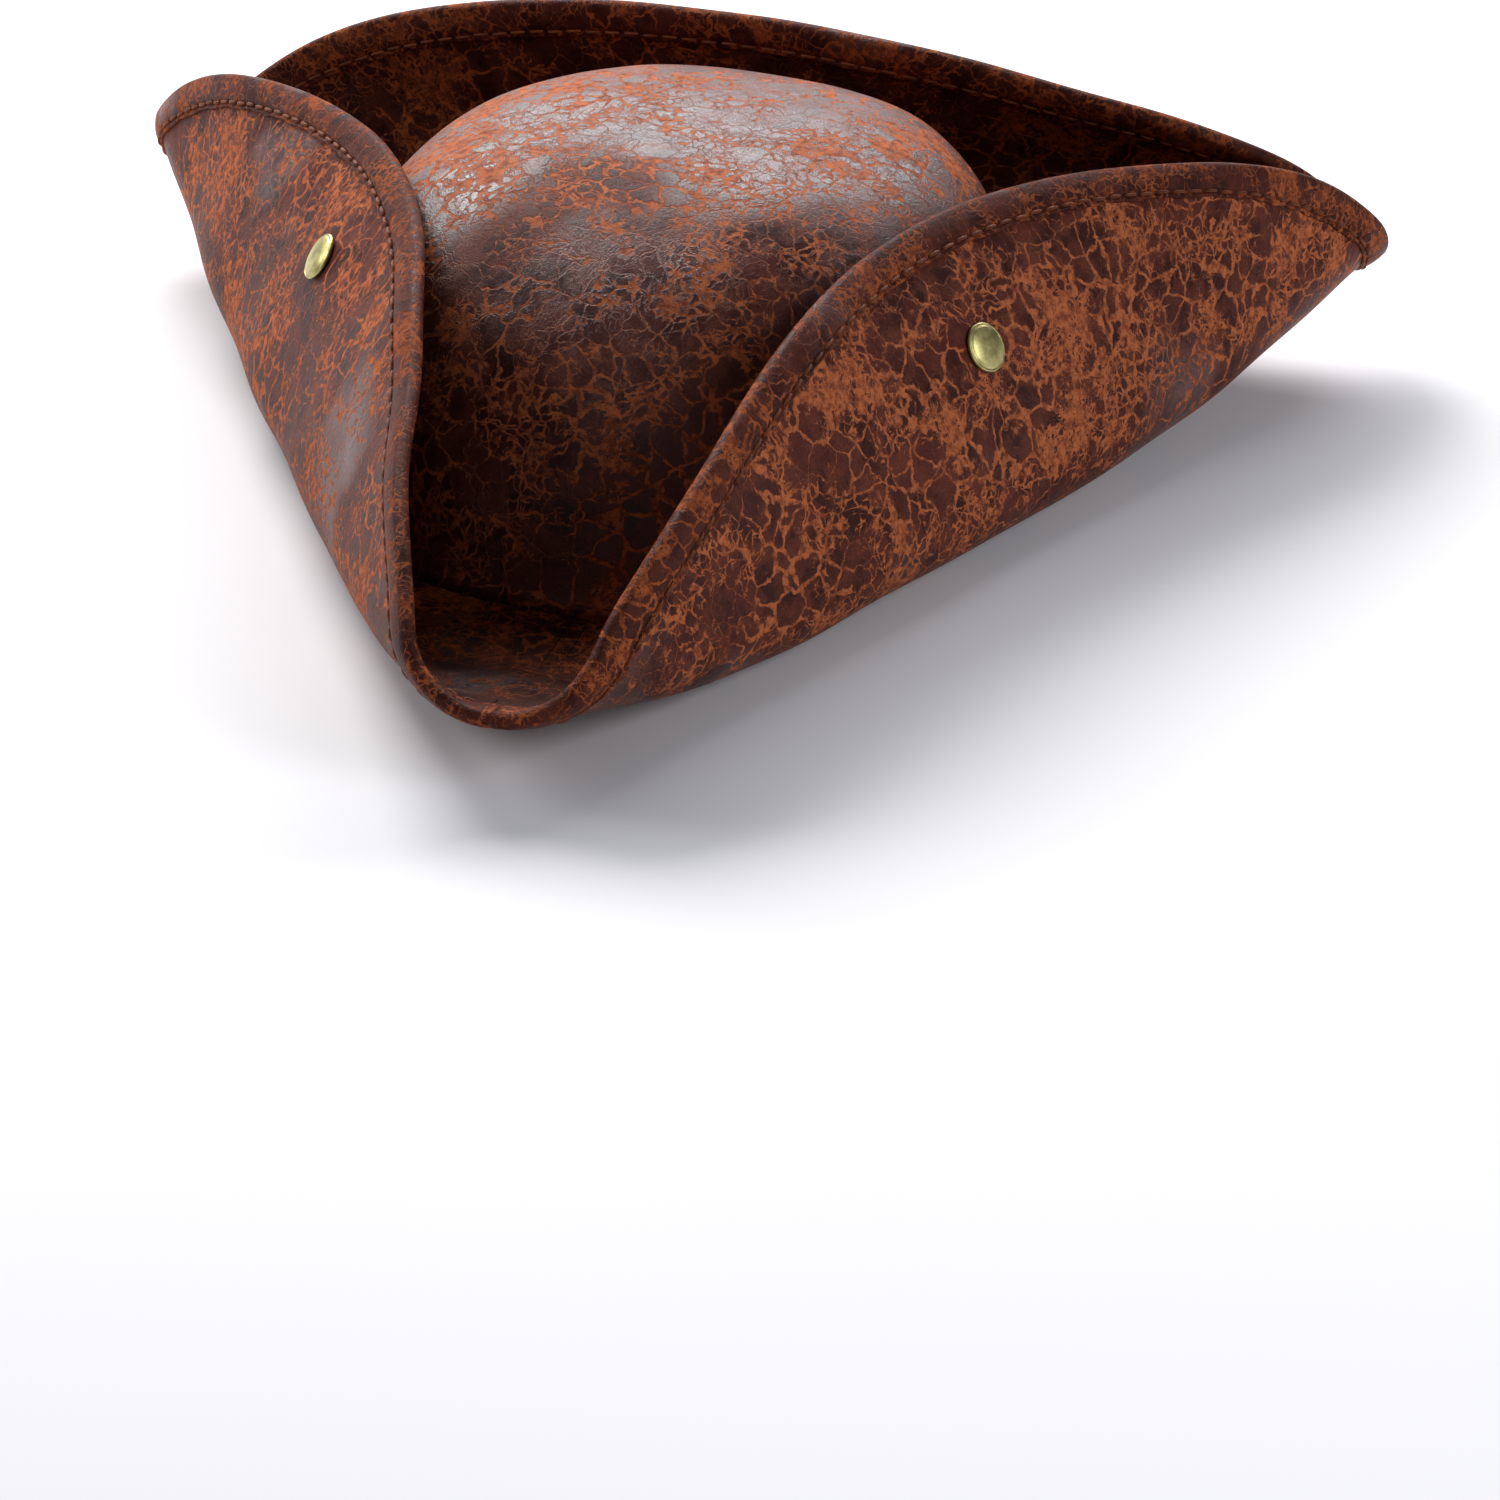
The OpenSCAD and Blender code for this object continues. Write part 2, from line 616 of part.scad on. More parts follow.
// Ball, neck, foot on the crown, and the stem through its wall
module stud_body(f) {
    d = neck_length(f);
    foot = d - flange_gap;
    at_ball(f) rotate_extrude($fn = 48)
        polygon([[0, -ball_r], [ball_r * 0.6, -ball_r * 0.8], [ball_r, -ball_r * 0.2],
                 [ball_r, ball_r * 0.3], [neck_r, ball_r * 0.8], [neck_r, foot - flange_t],
                 [flange_r, foot - flange_t + 0.2], [flange_r, foot], [stem_r, foot],
                 [stem_r, d + crown_wall + facet_clear], [0, d + crown_wall + facet_clear]]);
}

module post_body(f) {
    at_ball(f) translate([0, 0, neck_length(f) + crown_wall + facet_clear + gap])
        cylinder(r = post_r, h = post_t, $fn = 48);
}

// ---- Nodes ----------------------------------------------------------------------

module crown_shell() { color(leather) crown_body(); }
module crown_lining() { color(cloth) lining_body(); }
module sweatband() { color(leather_dark) band_body(); }
module sweatband_stitching() {
    color(thread) oval_stitches(band_seam_z, band_inset + band_t + oval_clear, true);
}
module crown_seam_stitching() {
    color(thread) oval_stitches(crown_seam_z, -oval_clear, false);
}
module brim_outer_facing() { color(leather) brim_layer(0); }
module brim_stiffener() { color(board) brim_layer(1); }
module brim_inner_facing() { color(leather_dark) brim_layer(2); }
module corner_bindings() { color(leather_trim) corner_bindings_at(); }

module right_flap_outer_facing() { color(leather) flap_layer(right_fold, 0, shank_r + hole_clear); }
module right_flap_stiffener() { color(board) flap_layer(right_fold, 1, shank_r + hole_clear); }
module right_flap_inner_facing() { color(leather_dark) flap_layer(right_fold, 2, shank_r + hole_clear); }
module right_flap_binding() { color(leather_trim) flap_binding(right_fold); }
module right_flap_stitching() { color(thread) flap_stitches(right_fold); }

module left_flap_outer_facing() { color(leather) flap_layer(left_fold, 0, shank_r + hole_clear); }
module left_flap_stiffener() { color(board) flap_layer(left_fold, 1, shank_r + hole_clear); }
module left_flap_inner_facing() { color(leather_dark) flap_layer(left_fold, 2, shank_r + hole_clear); }
module left_flap_binding() { color(leather_trim) flap_binding(left_fold); }
module left_flap_stitching() { color(thread) flap_stitches(left_fold); }

module back_flap_outer_facing() { color(leather) flap_layer(back_fold, 0, 0); }
module back_flap_stiffener() { color(board) flap_layer(back_fold, 1, 0); }
module back_flap_inner_facing() { color(leather_dark) flap_layer(back_fold, 2, 0); }
module back_flap_binding() { color(leather_trim) flap_binding(back_fold); }
module back_flap_stitching() { color(thread) flap_stitches(back_fold); }

module right_snap_cap() { color(brass) cap_body(right_fold); }
module right_snap_socket() { color(brass) socket_body(right_fold); }
module right_snap_stud() { color(brass) stud_body(right_fold); }
module right_snap_post() { color(brass) post_body(right_fold); }
module left_snap_cap() { color(brass) cap_body(left_fold); }
module left_snap_socket() { color(brass) socket_body(left_fold); }
module left_snap_stud() { color(brass) stud_body(left_fold); }
module left_snap_post() { color(brass) post_body(left_fold); }

crown_shell();
crown_lining();
sweatband();
sweatband_stitching();
crown_seam_stitching();
brim_outer_facing();
brim_stiffener();
brim_inner_facing();
corner_bindings();
right_flap_outer_facing();
right_flap_stiffener();
right_flap_inner_facing();
right_flap_binding();
right_flap_stitching();
left_flap_outer_facing();
left_flap_stiffener();
left_flap_inner_facing();
left_flap_binding();
left_flap_stitching();
back_flap_outer_facing();
back_flap_stiffener();
back_flap_inner_facing();
back_flap_binding();
back_flap_stitching();
right_snap_cap();
right_snap_socket();
right_snap_stud();
right_snap_post();
left_snap_cap();
left_snap_socket();
left_snap_stud();
left_snap_post();
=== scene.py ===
import math

import bpy
import numpy as np
from mathutils import Matrix, Vector, noise


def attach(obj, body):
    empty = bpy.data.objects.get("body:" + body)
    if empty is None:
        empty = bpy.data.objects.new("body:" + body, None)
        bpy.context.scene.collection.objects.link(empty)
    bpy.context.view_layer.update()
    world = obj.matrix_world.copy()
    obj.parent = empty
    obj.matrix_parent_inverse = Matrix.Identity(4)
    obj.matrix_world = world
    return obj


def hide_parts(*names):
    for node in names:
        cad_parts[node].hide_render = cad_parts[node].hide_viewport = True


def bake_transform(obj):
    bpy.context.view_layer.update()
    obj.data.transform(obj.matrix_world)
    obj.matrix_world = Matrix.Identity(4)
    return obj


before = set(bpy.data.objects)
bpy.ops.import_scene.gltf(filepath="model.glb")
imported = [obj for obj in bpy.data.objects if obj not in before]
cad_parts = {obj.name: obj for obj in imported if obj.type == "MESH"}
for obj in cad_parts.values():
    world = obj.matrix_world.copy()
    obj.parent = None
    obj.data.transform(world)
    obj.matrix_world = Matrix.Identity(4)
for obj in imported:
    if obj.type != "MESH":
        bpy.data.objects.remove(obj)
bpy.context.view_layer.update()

# Pirate hat: a blocked crown on a round brim that is turned up in three flaps.
# The brim's leather cloth is laid out on its flat blank, in millimetres with the blank's
# centre as origin, and place() carries it to its folded place in the row frame.

MM = 0.001

# ---- The brim's blank and its folds ------------------------------------------------

# Radius of the cut blank, and how much its edge leaves a circle in front, at the sides and at
# the corners
BLANK_R, FRONT_CUT, SIDE_GAIN, CORNER_GAIN = 188.3, 14.5, 2.9, 6.9
OPENING_BACK = 6.0      # the head opening's centre lies this far behind the blank's centre
# Where the fold lines meet
FRONT = np.array([0.0, -207.5])
RIGHT = np.array([178.5, 127.0])
LEFT = np.array([-178.5, 127.0])
# How high the corners rise, and how far from the middle they start to
FRONT_LIFT, REAR_LIFT = 30.5, 30.0
LIFT_FROM_FRONT, LIFT_FROM_REAR = 90.0, 70.0
# A flap starts to bow at the first height, and has its whole bow the second one higher
WALL_LOW, WALL_RISE = 22.0, 60.0
TINY = 0.001            # keeps a bend's width above nothing
SHARPNESS = 5.0         # how quickly a bend narrows towards its two ends
BRIM_T = 2.4
LAYERS = {"outer": (0.0, 0.9), "core": (0.95, 1.45), "inner": (1.5, 2.4)}


def unit(v):
    return v / np.linalg.norm(v, axis=-1, keepdims=True)


def smooth(t):
    t = np.clip(t, 0, 1)
    return t * t * (3 - 2 * t)


def half_tan(p, q, r):
    return math.tan(math.acos(float(unit(q - p) @ unit(r - p))) / 2)


def lift(p):
    """Height that the corners gain over the flat middle."""
    reach = np.linalg.norm(RIGHT)
    diag = (np.abs(p[..., 0]) * RIGHT[0] + p[..., 1] * RIGHT[1]) / reach
    r = np.maximum(diag - LIFT_FROM_REAR, 0) / (reach - LIFT_FROM_REAR)
    f = np.maximum(-p[..., 1] - LIFT_FROM_FRONT, 0) / (-FRONT[1] - LIFT_FROM_FRONT)
    return REAR_LIFT * r * r + FRONT_LIFT * f * f


class Fold:
    """One fold of the blank, from corner a to corner b, opposite corner c.

    The sheet bends over twice the width bend through turn degrees, and gain more towards b.
    Past the bend the flap curls in or flares out, and its ends bow. cap is the press stud's
    place along the fold and up the flap.
    """

    def __init__(self, side, a, b, c, bend, turn, gain, curl, bow, cap=None):
        self.side, self.a, self.b, self.cap = side, a, b, cap
        self.ta, self.tb = half_tan(a, b, c), half_tan(b, a, c)
        self.bend, self.turn, self.gain = bend, turn, gain
        self.curl, self.bow = curl, bow
        self.length = float(np.linalg.norm(b - a))
        self.t = unit(b - a)
        n = np.array([self.t[1], -self.t[0]])
        self.n = n if n @ (a + b) > 0 else -n

    def point(self, s, v):
        return self.a + self.t * np.asarray(s)[..., None] + self.n * np.asarray(v)[..., None]

    def half_bend(self, s):
        """Half the width of the bend, which narrows to nothing at both corners."""
        a = np.maximum(s, TINY) * self.ta
        b = np.maximum(self.length - s, TINY) * self.tb
        k = SHARPNESS
        return (self.bend ** -k + a ** -k + b ** -k) ** (-1 / k)

    def folded(self, s, v):
        """Folded place of the blank point that is s along the fold and v beyond it."""
        b, mid = self.half_bend(s), self.length / 2
        w = v + b
        turn = self.turn + self.gain * (s - mid) / mid
        bent = np.radians(turn * np.minimum(w, 2 * b) / (2 * b))
        r = 2 * b / np.radians(turn)
        rest = np.maximum(w - 2 * b, 0)
        lean = np.radians(turn - self.curl / 100 * rest / 2)
        out = r * np.sin(bent) + rest * np.cos(lean) - b
        up = r * (1 - np.cos(bent)) + rest * np.sin(lean)
        bow = self.bow * ((s - mid) / mid) ** 2 * smooth((up - WALL_LOW) / WALL_RISE)
        q = self.point(s, out + bow)
        return np.stack([q[..., 0], q[..., 1], up + lift(q)], -1)


FOLDS = {
    "right": Fold("right", FRONT, RIGHT, LEFT, 14, 104, 7, -50, 20, (11.5, 48)),
    "left": Fold("left", FRONT, LEFT, RIGHT, 14, 104, 7, -50, 20, (20, 52)),
    "back": Fold("back", RIGHT, LEFT, FRONT, 26, 103.5, -27.5, 6, -6.5),
}


def base_surface(p):
    """The outer face's place for blank points p, before its unevenness."""
    out = np.concatenate([p, lift(p)[..., None]], -1)
    done = np.zeros(p.shape[:-1], bool)
    for f in FOLDS.values():
        s, v = (p - f.a) @ f.t, (p - f.a) @ f.n
        m = (s > 0) & (s < f.length) & (v > -f.half_bend(s)) & ~done
        out[m] = f.folded(s[m], v[m])
        done |= m
    return out


def normal_of(surface, p, e=0.4):
    dx, dy = np.array([e, 0]), np.array([0, e])
    return unit(np.cross(surface(p + dx) - surface(p - dx), surface(p + dy) - surface(p - dy)))


CAPS = {k: f.point(f.length / 2 + f.cap[0], f.cap[1]) for k, f in FOLDS.items() if f.cap}
CAP_FLAT, CAP_FADE = 7, 22      # round a cap the sheet is even, and this much farther uneven
# Each wave of the sheet's unevenness: how quickly it runs along x and y, its phase and height
WAVES = ((0.062, 0.035, 0.4, 0.30), (-0.041, 0.083, 1.9, 0.26), (0.108, -0.066, 4.1, 0.16),
         (0.019, 0.128, 2.7, 0.14), (0.151, 0.094, 5.2, 0.07))


def wave(p):
    """Slight unevenness of the sheet, none at the caps."""
    h = sum(a * np.sin(kx * p[..., 0] + ky * p[..., 1] + c) for kx, ky, c, a in WAVES)
    for c in CAPS.values():
        h = h * smooth((np.linalg.norm(p - c, axis=-1) - CAP_FLAT) / CAP_FADE)
    return h


def surface(p):
    return base_surface(p) + normal_of(base_surface, p) * wave(p)[..., None]


def place(p, d):
    """Place and normal of blank points p, at distance d from the outer face."""
    n = normal_of(surface, p)
    back = np.array([0, OPENING_BACK, 0])
    return surface(p) + n * np.asarray(d)[..., None] - back, n


def edge_r(p):
    """Radius of the blank's edge in the direction of p."""
    a = np.arctan2(p[..., 0], -p[..., 1])
    return (BLANK_R - FRONT_CUT * np.cos(a) - SIDE_GAIN * np.cos(2 * a)
            + CORNER_GAIN * np.cos(3 * a))


HALVINGS = 34           # steps of each search by halves
EDGE_FROM, EDGE_TO = -60.0, 140.0


def edge_v(f, s):
    """Distance of the blank's edge beyond the fold line."""
    low, high = np.full(np.shape(s), EDGE_FROM), np.full(np.shape(s), EDGE_TO)
    for _ in range(HALVINGS):
        m = (low + high) / 2
        p = f.point(s, m)
        inside = np.linalg.norm(p, axis=-1) < edge_r(p)
        low, high = np.where(inside, m, low), np.where(inside, high, m)
    return (low + high) / 2


SEAM_SHARE = 0.9        # the seam between floor and flap, as a share of the half bend


def seam_v(f, s):
    return -SEAM_SHARE * f.half_bend(s)


def seam_end(f, at_start, over=0.4):
    """Place along the fold where the edge is only just beyond the seam."""
    low, high = 0.0, f.length / 2
    for _ in range(HALVINGS):
        m = (low + high) / 2
        s = np.array([m if at_start else f.length - m])
        if (edge_v(f, s) - seam_v(f, s))[0] > over:
            high = m
        else:
            low = m
    return high if at_start else f.length - high


# ---- Mesh helpers ------------------------------------------------------------------


def make(name, co, faces, grain=None, normals=None, flat_faces=()):
    """A mesh object from millimetre points. grain is the leather's own coordinate."""
    mesh = bpy.data.meshes.new(name)
    mesh.from_pydata((np.asarray(co) * MM).tolist(), [], faces)
    mesh.validate()
    shade = np.ones(len(mesh.polygons), bool)
    if len(flat_faces):
        shade[list(flat_faces)] = False
    mesh.polygons.foreach_set("use_smooth", shade)
    if grain is not None:
        a = mesh.attributes.new("grain", "FLOAT_VECTOR", "POINT")
        a.data.foreach_set("vector", np.asarray(grain, np.float32).ravel())
    if normals is not None:
        mesh.normals_split_custom_set_from_vertices(np.asarray(normals).tolist())
    obj = bpy.data.objects.new(name, mesh)
    bpy.context.scene.collection.objects.link(obj)
    return obj


def grid_quads(rows, cols, o=0, wrap=False, flip=False):
    out = []
    for i in range(rows if wrap else rows - 1):
        k = (i + 1) % rows
        for j in range(cols - 1):
            q = (o + i * cols + j, o + k * cols + j, o + k * cols + j + 1, o + i * cols + j + 1)
            out.append(q[::-1] if flip else q)
    return out


def loop_of(rows, cols):
    return ([i * cols for i in range(rows)] + [(rows - 1) * cols + j for j in range(1, cols)]
            + [i * cols + cols - 1 for i in range(rows - 2, -1, -1)]
            + [j for j in range(cols - 2, 0, -1)])


def thin_sheet(name, grid, lo, hi, wrap, offset):
    """A closed thin sheet over a grid of blank points, between distances lo and hi."""
    rows, cols = grid.shape[:2]
    flat = grid.reshape(-1, 2)
    low, n = place(flat, np.full(len(flat), lo))
    high, _ = place(flat, np.full(len(flat), hi))
    count = rows * cols
    # The rim has its own points, so that its edges stay crisp
    da, db = grid[1:, :-1] - grid[:-1, :-1], grid[:-1, 1:] - grid[:-1, :-1]
    up = (da[..., 0] * db[..., 1] - da[..., 1] * db[..., 0]).sum() > 0
    faces = grid_quads(rows, cols, 0, wrap, up) + grid_quads(rows, cols, count, wrap, not up)
    co, normals = [low, high], [-n, n]
    loops = ([[i * cols for i in range(rows)], [i * cols + cols - 1 for i in range(rows)][::-1]]
             if wrap else [loop_of(rows, cols)])
    o = 2 * count
    for loop in loops:
        m = len(loop)
        a, b = low[loop], high[loop]
        side = unit(np.cross(np.roll(a, -1, 0) - np.roll(a, 1, 0), n[loop]) + 1e-9)
        if not up:
            side = -side
        co += [a, b]
        normals += [side, side]
        for i in range(m):
            k = (i + 1) % m
            q = (o + i, o + k, o + m + k, o + m + i)
            faces.append(q[::-1] if up else q)
        o += 2 * m
    points = np.concatenate(co)
    blank = np.concatenate([flat, flat] + [flat[l] for l in loops for _ in (0, 1)])
    grain = np.concatenate([blank, np.zeros((len(blank), 1))], 1) + np.asarray(offset)
    return make(name, points, faces, grain, np.concatenate(normals))


EASE = 0.55             # how much closer the steps along a fold get towards its ends


def spread(a, b, n):
    i = np.arange(n + 1)
    ease = (1 - np.cos(math.pi * i / n)) / 2
    return a + (b - a) * (EASE * ease + (1 - EASE) * i / n)


# ---- Brim: floor and flaps ---------------------------------------------------------

ALONG, ACROSS, FLOOR_ROWS, TIP_STEPS = 150, 54, 40, 6
S_LIST = {k: spread(seam_end(f, True), seam_end(f, False), ALONG) for k, f in FOLDS.items()}

# The crown's half width, half length and fullest half width, and its height
CROWN_W, CROWN_L, CROWN_FULL, CROWN_H = 85.0, 101.0, 87.0, 85.5
# How much shorter it is and how far back it leans at the top, how square its shoulder and its
# plan are, and its thickness
CROWN_TAPER, CROWN_LEAN, SHOULDER, PLAN, WALL = 17.0, 12.0, 3.4, 2.2, 2.2
OPENING_LAP = 1.6       # of the crown's wall stands on the brim


def flap_grid(f):
    """Blank points of a flap: rows along its fold, columns from its seam to its edge."""
    s = S_LIST[f.side]
    ev, sv = edge_v(f, s), seam_v(f, s)
    t = np.linspace(0, 1, ACROSS + 1)
    return f.point(np.repeat(s[:, None], ACROSS + 1, 1), sv[:, None] + (ev - sv)[:, None] * t)


def seam_line(f, back=False):
    """The floor's border along one fold, with the edge point at both ends."""
    s = S_LIST[f.side]
    ev = edge_v(f, s)
    line = np.concatenate([f.point(s[:1], ev[:1]), f.point(s, seam_v(f, s)),
                           f.point(s[-1:], ev[-1:])])
    return line[::-1] if back else line


def tip_line(p, q):
    """Points of the edge between the ends p and q of two folds."""
    m = [p + (q - p) * i / TIP_STEPS for i in range(1, TIP_STEPS)]
    return np.array([unit(x) * edge_r(x) for x in m])


def floor_grid():
    """Blank points of the floor: rows round the opening, columns from it to the border."""
    r, b = seam_line(FOLDS["right"]), seam_line(FOLDS["back"])
    l = seam_line(FOLDS["left"], True)
    border = np.concatenate([r, tip_line(r[-1], b[0]), b, tip_line(b[-1], l[0]), l,
                             tip_line(l[-1], r[0])])
    centre = np.array([0, OPENING_BACK])
    d = unit(border - centre)
    reach = ((np.abs(d[:, 0]) / (CROWN_W - OPENING_LAP)) ** PLAN
             + (np.abs(d[:, 1]) / (CROWN_L - OPENING_LAP)) ** PLAN) ** (-1 / PLAN)
    start = centre + d * reach[:, None]
    t = np.linspace(0, 1, FLOOR_ROWS + 1)
    return start[:, None] + (border - start)[:, None] * t[None, :, None]


# Each layer reads the leather's pattern from its own place
GRAIN_OFFSET = {"outer": (0, 0, 0), "core": (0, 0, 40), "inner": (310, 170, 90)}
# the inner facing gets a darker copy of the leather: painted shade of the hat's inside
MATERIAL_OF = {"outer": "leather", "core": "board", "inner": "leather_inside"}
CAD_WORD = {"outer": "outer_facing", "core": "stiffener", "inner": "inner_facing"}
made = []


def record_piece(obj, body, slot, nodes=(), fold=None):
    """Attaches a piece to its body, or only bakes its transform when a fold is given; hides the
    CAD nodes that it stands for and keeps its slot for its material.
    """
    if fold is None:
        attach(obj, body)
    else:
        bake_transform(obj)
    if nodes:
        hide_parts(*nodes)
    made.append((obj, slot))


grid = floor_grid()
for k, (lo, hi) in LAYERS.items():
    o = thin_sheet("brim_floor_" + CAD_WORD[k], grid, lo, hi, True, GRAIN_OFFSET[k])
    record_piece(o, "root", MATERIAL_OF[k], ["brim_" + CAD_WORD[k]])
for side, f in FOLDS.items():
    grid = flap_grid(f)
    for k, (lo, hi) in LAYERS.items():
        o = thin_sheet(side + "_flap_" + CAD_WORD[k] + "_cloth", grid, lo, hi, False,
                       GRAIN_OFFSET[k])
        record_piece(o, side + "_flap", MATERIAL_OF[k], [side + "_flap_" + CAD_WORD[k]], f)

# ---- Binding tape and its stitches -------------------------------------------------

TAPE_W, TAPE_T, STITCH_IN, PITCH = 8.0, 0.8, 6.5, 5.8
TAPE_STEP, TAPE_SIDES, TIP_POINTS = 1.25, 9, 9
# The tape rises in a soft dome between its edge and its stitches, which pull it down in a
# groove, deeper at every stitch
DOME, GROOVE, PUCKER, GROOVE_W = 0.42, 0.38, 0.20, 0.75
# Distances from the edge of the brim at which the tape's section has a point, and the share
# of its height there
TAPE_AT = np.array([TAPE_W, TAPE_W, 7.9, 7.6, 7.2, 6.9, 6.5, 6.1, 5.7, 5.2, 4.4, 3.6, 2.7, 1.8,
                    0.9, 0.2])
TAPE_SHARE = np.array([0.0, 0.45, 0.8] + [1.0] * (len(TAPE_AT) - 3))
RAG_FROM = 7            # beyond this distance the tape's border is a little uneven


def edge_path(f):
    """Dense blank points along the edge of a flap, from tip centre to tip centre."""
    s = S_LIST[f.side]
    p = f.point(s, edge_v(f, s))
    ends = []
    for corner, first in ((f.a, True), (f.b, False)):
        c = unit(corner) * edge_r(corner)
        q = p[0] if first else p[-1]
        t = np.linspace(0, 1, TIP_POINTS)
        t = t[:-1] if first else t[1:]
        m = (c + (q - c) * t[:, None]) if first else (q + (c - q) * t[:, None])
        ends.append(unit(m) * edge_r(m)[:, None])
    p = np.concatenate([ends[0], p, ends[1]])
    arc = np.concatenate([[0], np.cumsum(np.linalg.norm(np.diff(p, axis=0), axis=1))])
    n = int(arc[-1] / TAPE_STEP)
    at = np.linspace(0, arc[-1], n + 1)
    p = np.stack([np.interp(at, arc, p[:, i]) for i in (0, 1)], 1)
    return unit(p) * edge_r(p)[:, None], at


def edge_in(p):
    """Direction from edge points p into the blank, square to the edge."""
    e = 0.05
    t = unit(np.stack([-p[..., 1], p[..., 0]], -1))
    a, b = p + t * e, p - t * e
    m = unit(unit(a) * edge_r(a)[..., None] - unit(b) * edge_r(b)[..., None])
    return np.stack([-m[..., 1], m[..., 0]], -1)


def tape_height(t, pucker):
    """Height of the tape's face over the sheet at distance t from the edge."""
    dome = DOME * np.sin(math.pi * np.clip(t / STITCH_IN, 0, 1)) ** 0.8
    groove = (GROOVE + PUCKER * pucker) * np.exp(-(((t - STITCH_IN) / GROOVE_W) ** 2))
    return TAPE_T + dome - groove


def tape_section(at):
    """Distance from the edge and depth in the sheet of each line that runs along the tape."""
    pucker = np.cos(2 * math.pi * at / PITCH)
    rag = 0.22 * np.sin(at * 0.35) + 0.15 * np.sin(at * 0.83 + 1)
    one, lines = np.ones(len(at)), []
    for t, share in zip(TAPE_AT, TAPE_SHARE):   # inner face, from the border to the edge
        lines.append(((t + (rag if t > RAG_FROM else 0)) * one,
                      BRIM_T + share * tape_height(t, pucker)))
    r = BRIM_T / 2 + TAPE_T
    for a in np.linspace(0, math.pi, TAPE_SIDES)[1:-1]:     # round the edge
        lines.append((-r * math.sin(a) * one,
                      BRIM_T / 2 + (r + 0.12 * math.sin(2 * a) ** 2) * math.cos(a) * one))
    for t, share in zip(TAPE_AT[::-1], TAPE_SHARE[::-1]):   # outer face, back to the border
        lines.append(((t + (-rag if t > RAG_FROM else 0)) * one,
                      -share * tape_height(t, pucker)))
    # and along the sheet's own faces, which the tape grips
    return lines + [(0.1 * one, -0.02 * one), (0.1 * one, (BRIM_T + 0.02) * one)]


def tape_travel():
    """How far each line of the section is from the first, measured round the tape."""
    face = np.concatenate([[0], np.cumsum(np.abs(np.diff(TAPE_AT)))])
    step = (BRIM_T / 2 + TAPE_T) * 0.4
    turns = TAPE_SIDES - 2
    back = 2 * face[-1] + (turns + 1) * step - face[::-1]
    return np.concatenate([face, face[-1] + np.arange(1, turns + 1) * step, back, [30, 32]])


def tape(side, f):
    p, at = edge_path(f)
    q = edge_in(p)
    co = np.stack([place(p + q * t[:, None], d)[0] for t, d in tape_section(at)], 1)
    rows, k = co.shape[:2]
    grain = np.zeros((rows, k, 3))
    grain[..., 0] = at[:, None] + 37
    grain[..., 1] = tape_travel()[None, :] + {"right": 0, "left": 60, "back": 120}[side]
    grain[..., 2] = 200
    faces = []
    for i in range(rows - 1):
        for j in range(k):
            m = (j + 1) % k
            faces.append((i * k + j, i * k + m, (i + 1) * k + m, (i + 1) * k + j))
    faces.append(tuple(range(k))[::-1])
    faces.append(tuple((rows - 1) * k + j for j in range(k)))
    if np.cross(np.append(f.t, 0), np.append(f.n, 0))[2] > 0:
        faces = [fc[::-1] for fc in faces]
    return make(side + "_flap_tape", co.reshape(-1, 3), faces, grain.reshape(-1, 3),
                flat_faces=(len(faces) - 2, len(faces) - 1))


def capsule(path, radius, sides=8):
    """Points and faces of a short thread with rounded ends along a path."""
    path, rad = np.asarray(path), np.asarray(radius)
    co, faces = [], []
    for i, c in enumerate(path):
        t = unit(path[min(i + 1, len(path) - 1)] - path[max(i - 1, 0)])
        u = unit(np.cross(t, [0.31, 0.17, 0.93]))
        v = np.cross(t, u)
        for j in range(sides):
            a = 2 * math.pi * j / sides
            co.append(c + rad[i] * (u * math.cos(a) + v * math.sin(a)))
    n = len(path)
    for i in range(n - 1):
        for j in range(sides):
            m = (j + 1) % sides
            faces.append((i * sides + j, i * sides + m, (i + 1) * sides + m, (i + 1) * sides + j))
    faces.append(tuple(range(sides))[::-1])
    faces.append(tuple((n - 1) * sides + j for j in range(sides)))
    return co, faces


def threads(name, paths, radius=0.45):
    co, faces, grain = [], [], []
    shape = radius * np.array([0.45, 0.85, 1.0, 1.0, 0.85, 0.45])
    for i, path in enumerate(paths):
        c, fs = capsule(path, shape)
        faces += [tuple(len(co) + x for x in fc) for fc in fs]
        sides = len(c) // len(path)
        grain += [(i * 9.0 + j // sides, (j % sides), 0) for j in range(len(c))]
        co += c
    return make(name, co, faces, grain)


STITCH_L = 4.3
# A stitch's points: how far along its length, and how far above the surface
STITCH_T = np.array([-0.5, -0.43, -0.18, 0.18, 0.43, 0.5])
STITCH_H = np.array([-0.45, 0.05, 0.28, 0.28, 0.05, -0.45])


def edge_stitches(f):
    """Paths of the stitches on both faces of the tape."""
    p, at = edge_path(f)
    n = int((at[-1] - 10) / PITCH)
    first = (at[-1] - (n - 1) * PITCH) / 2
    first = math.floor(first / PITCH) * PITCH + PITCH / 2
    paths = []
    for i in range(n):
        mid = first + i * PITCH
        if mid > at[-1] - 4:
            break
        for face in (0, 1):
            s = mid + STITCH_T * STITCH_L + (0 if face else 0.4)
            q = np.stack([np.interp(s, at, p[:, j]) for j in (0, 1)], 1)
            q = unit(q) * edge_r(q)[:, None]
            q = q + edge_in(q) * (STITCH_IN + 0.12 * math.sin(i * 2.4 + face))
            top = tape_height(STITCH_IN, -1) + STITCH_H
            paths.append(place(q, BRIM_T + top if face else -top)[0])
    return paths


for side, f in FOLDS.items():
    body = side + "_flap"
    nodes = [body + "_binding"] + (["corner_bindings"] if side == "right" else [])
    record_piece(tape(side, f), body, "leather_trim", nodes, f)
    record_piece(threads(body + "_thread", edge_stitches(f)), body, "thread",
                 [body + "_stitching"], f)

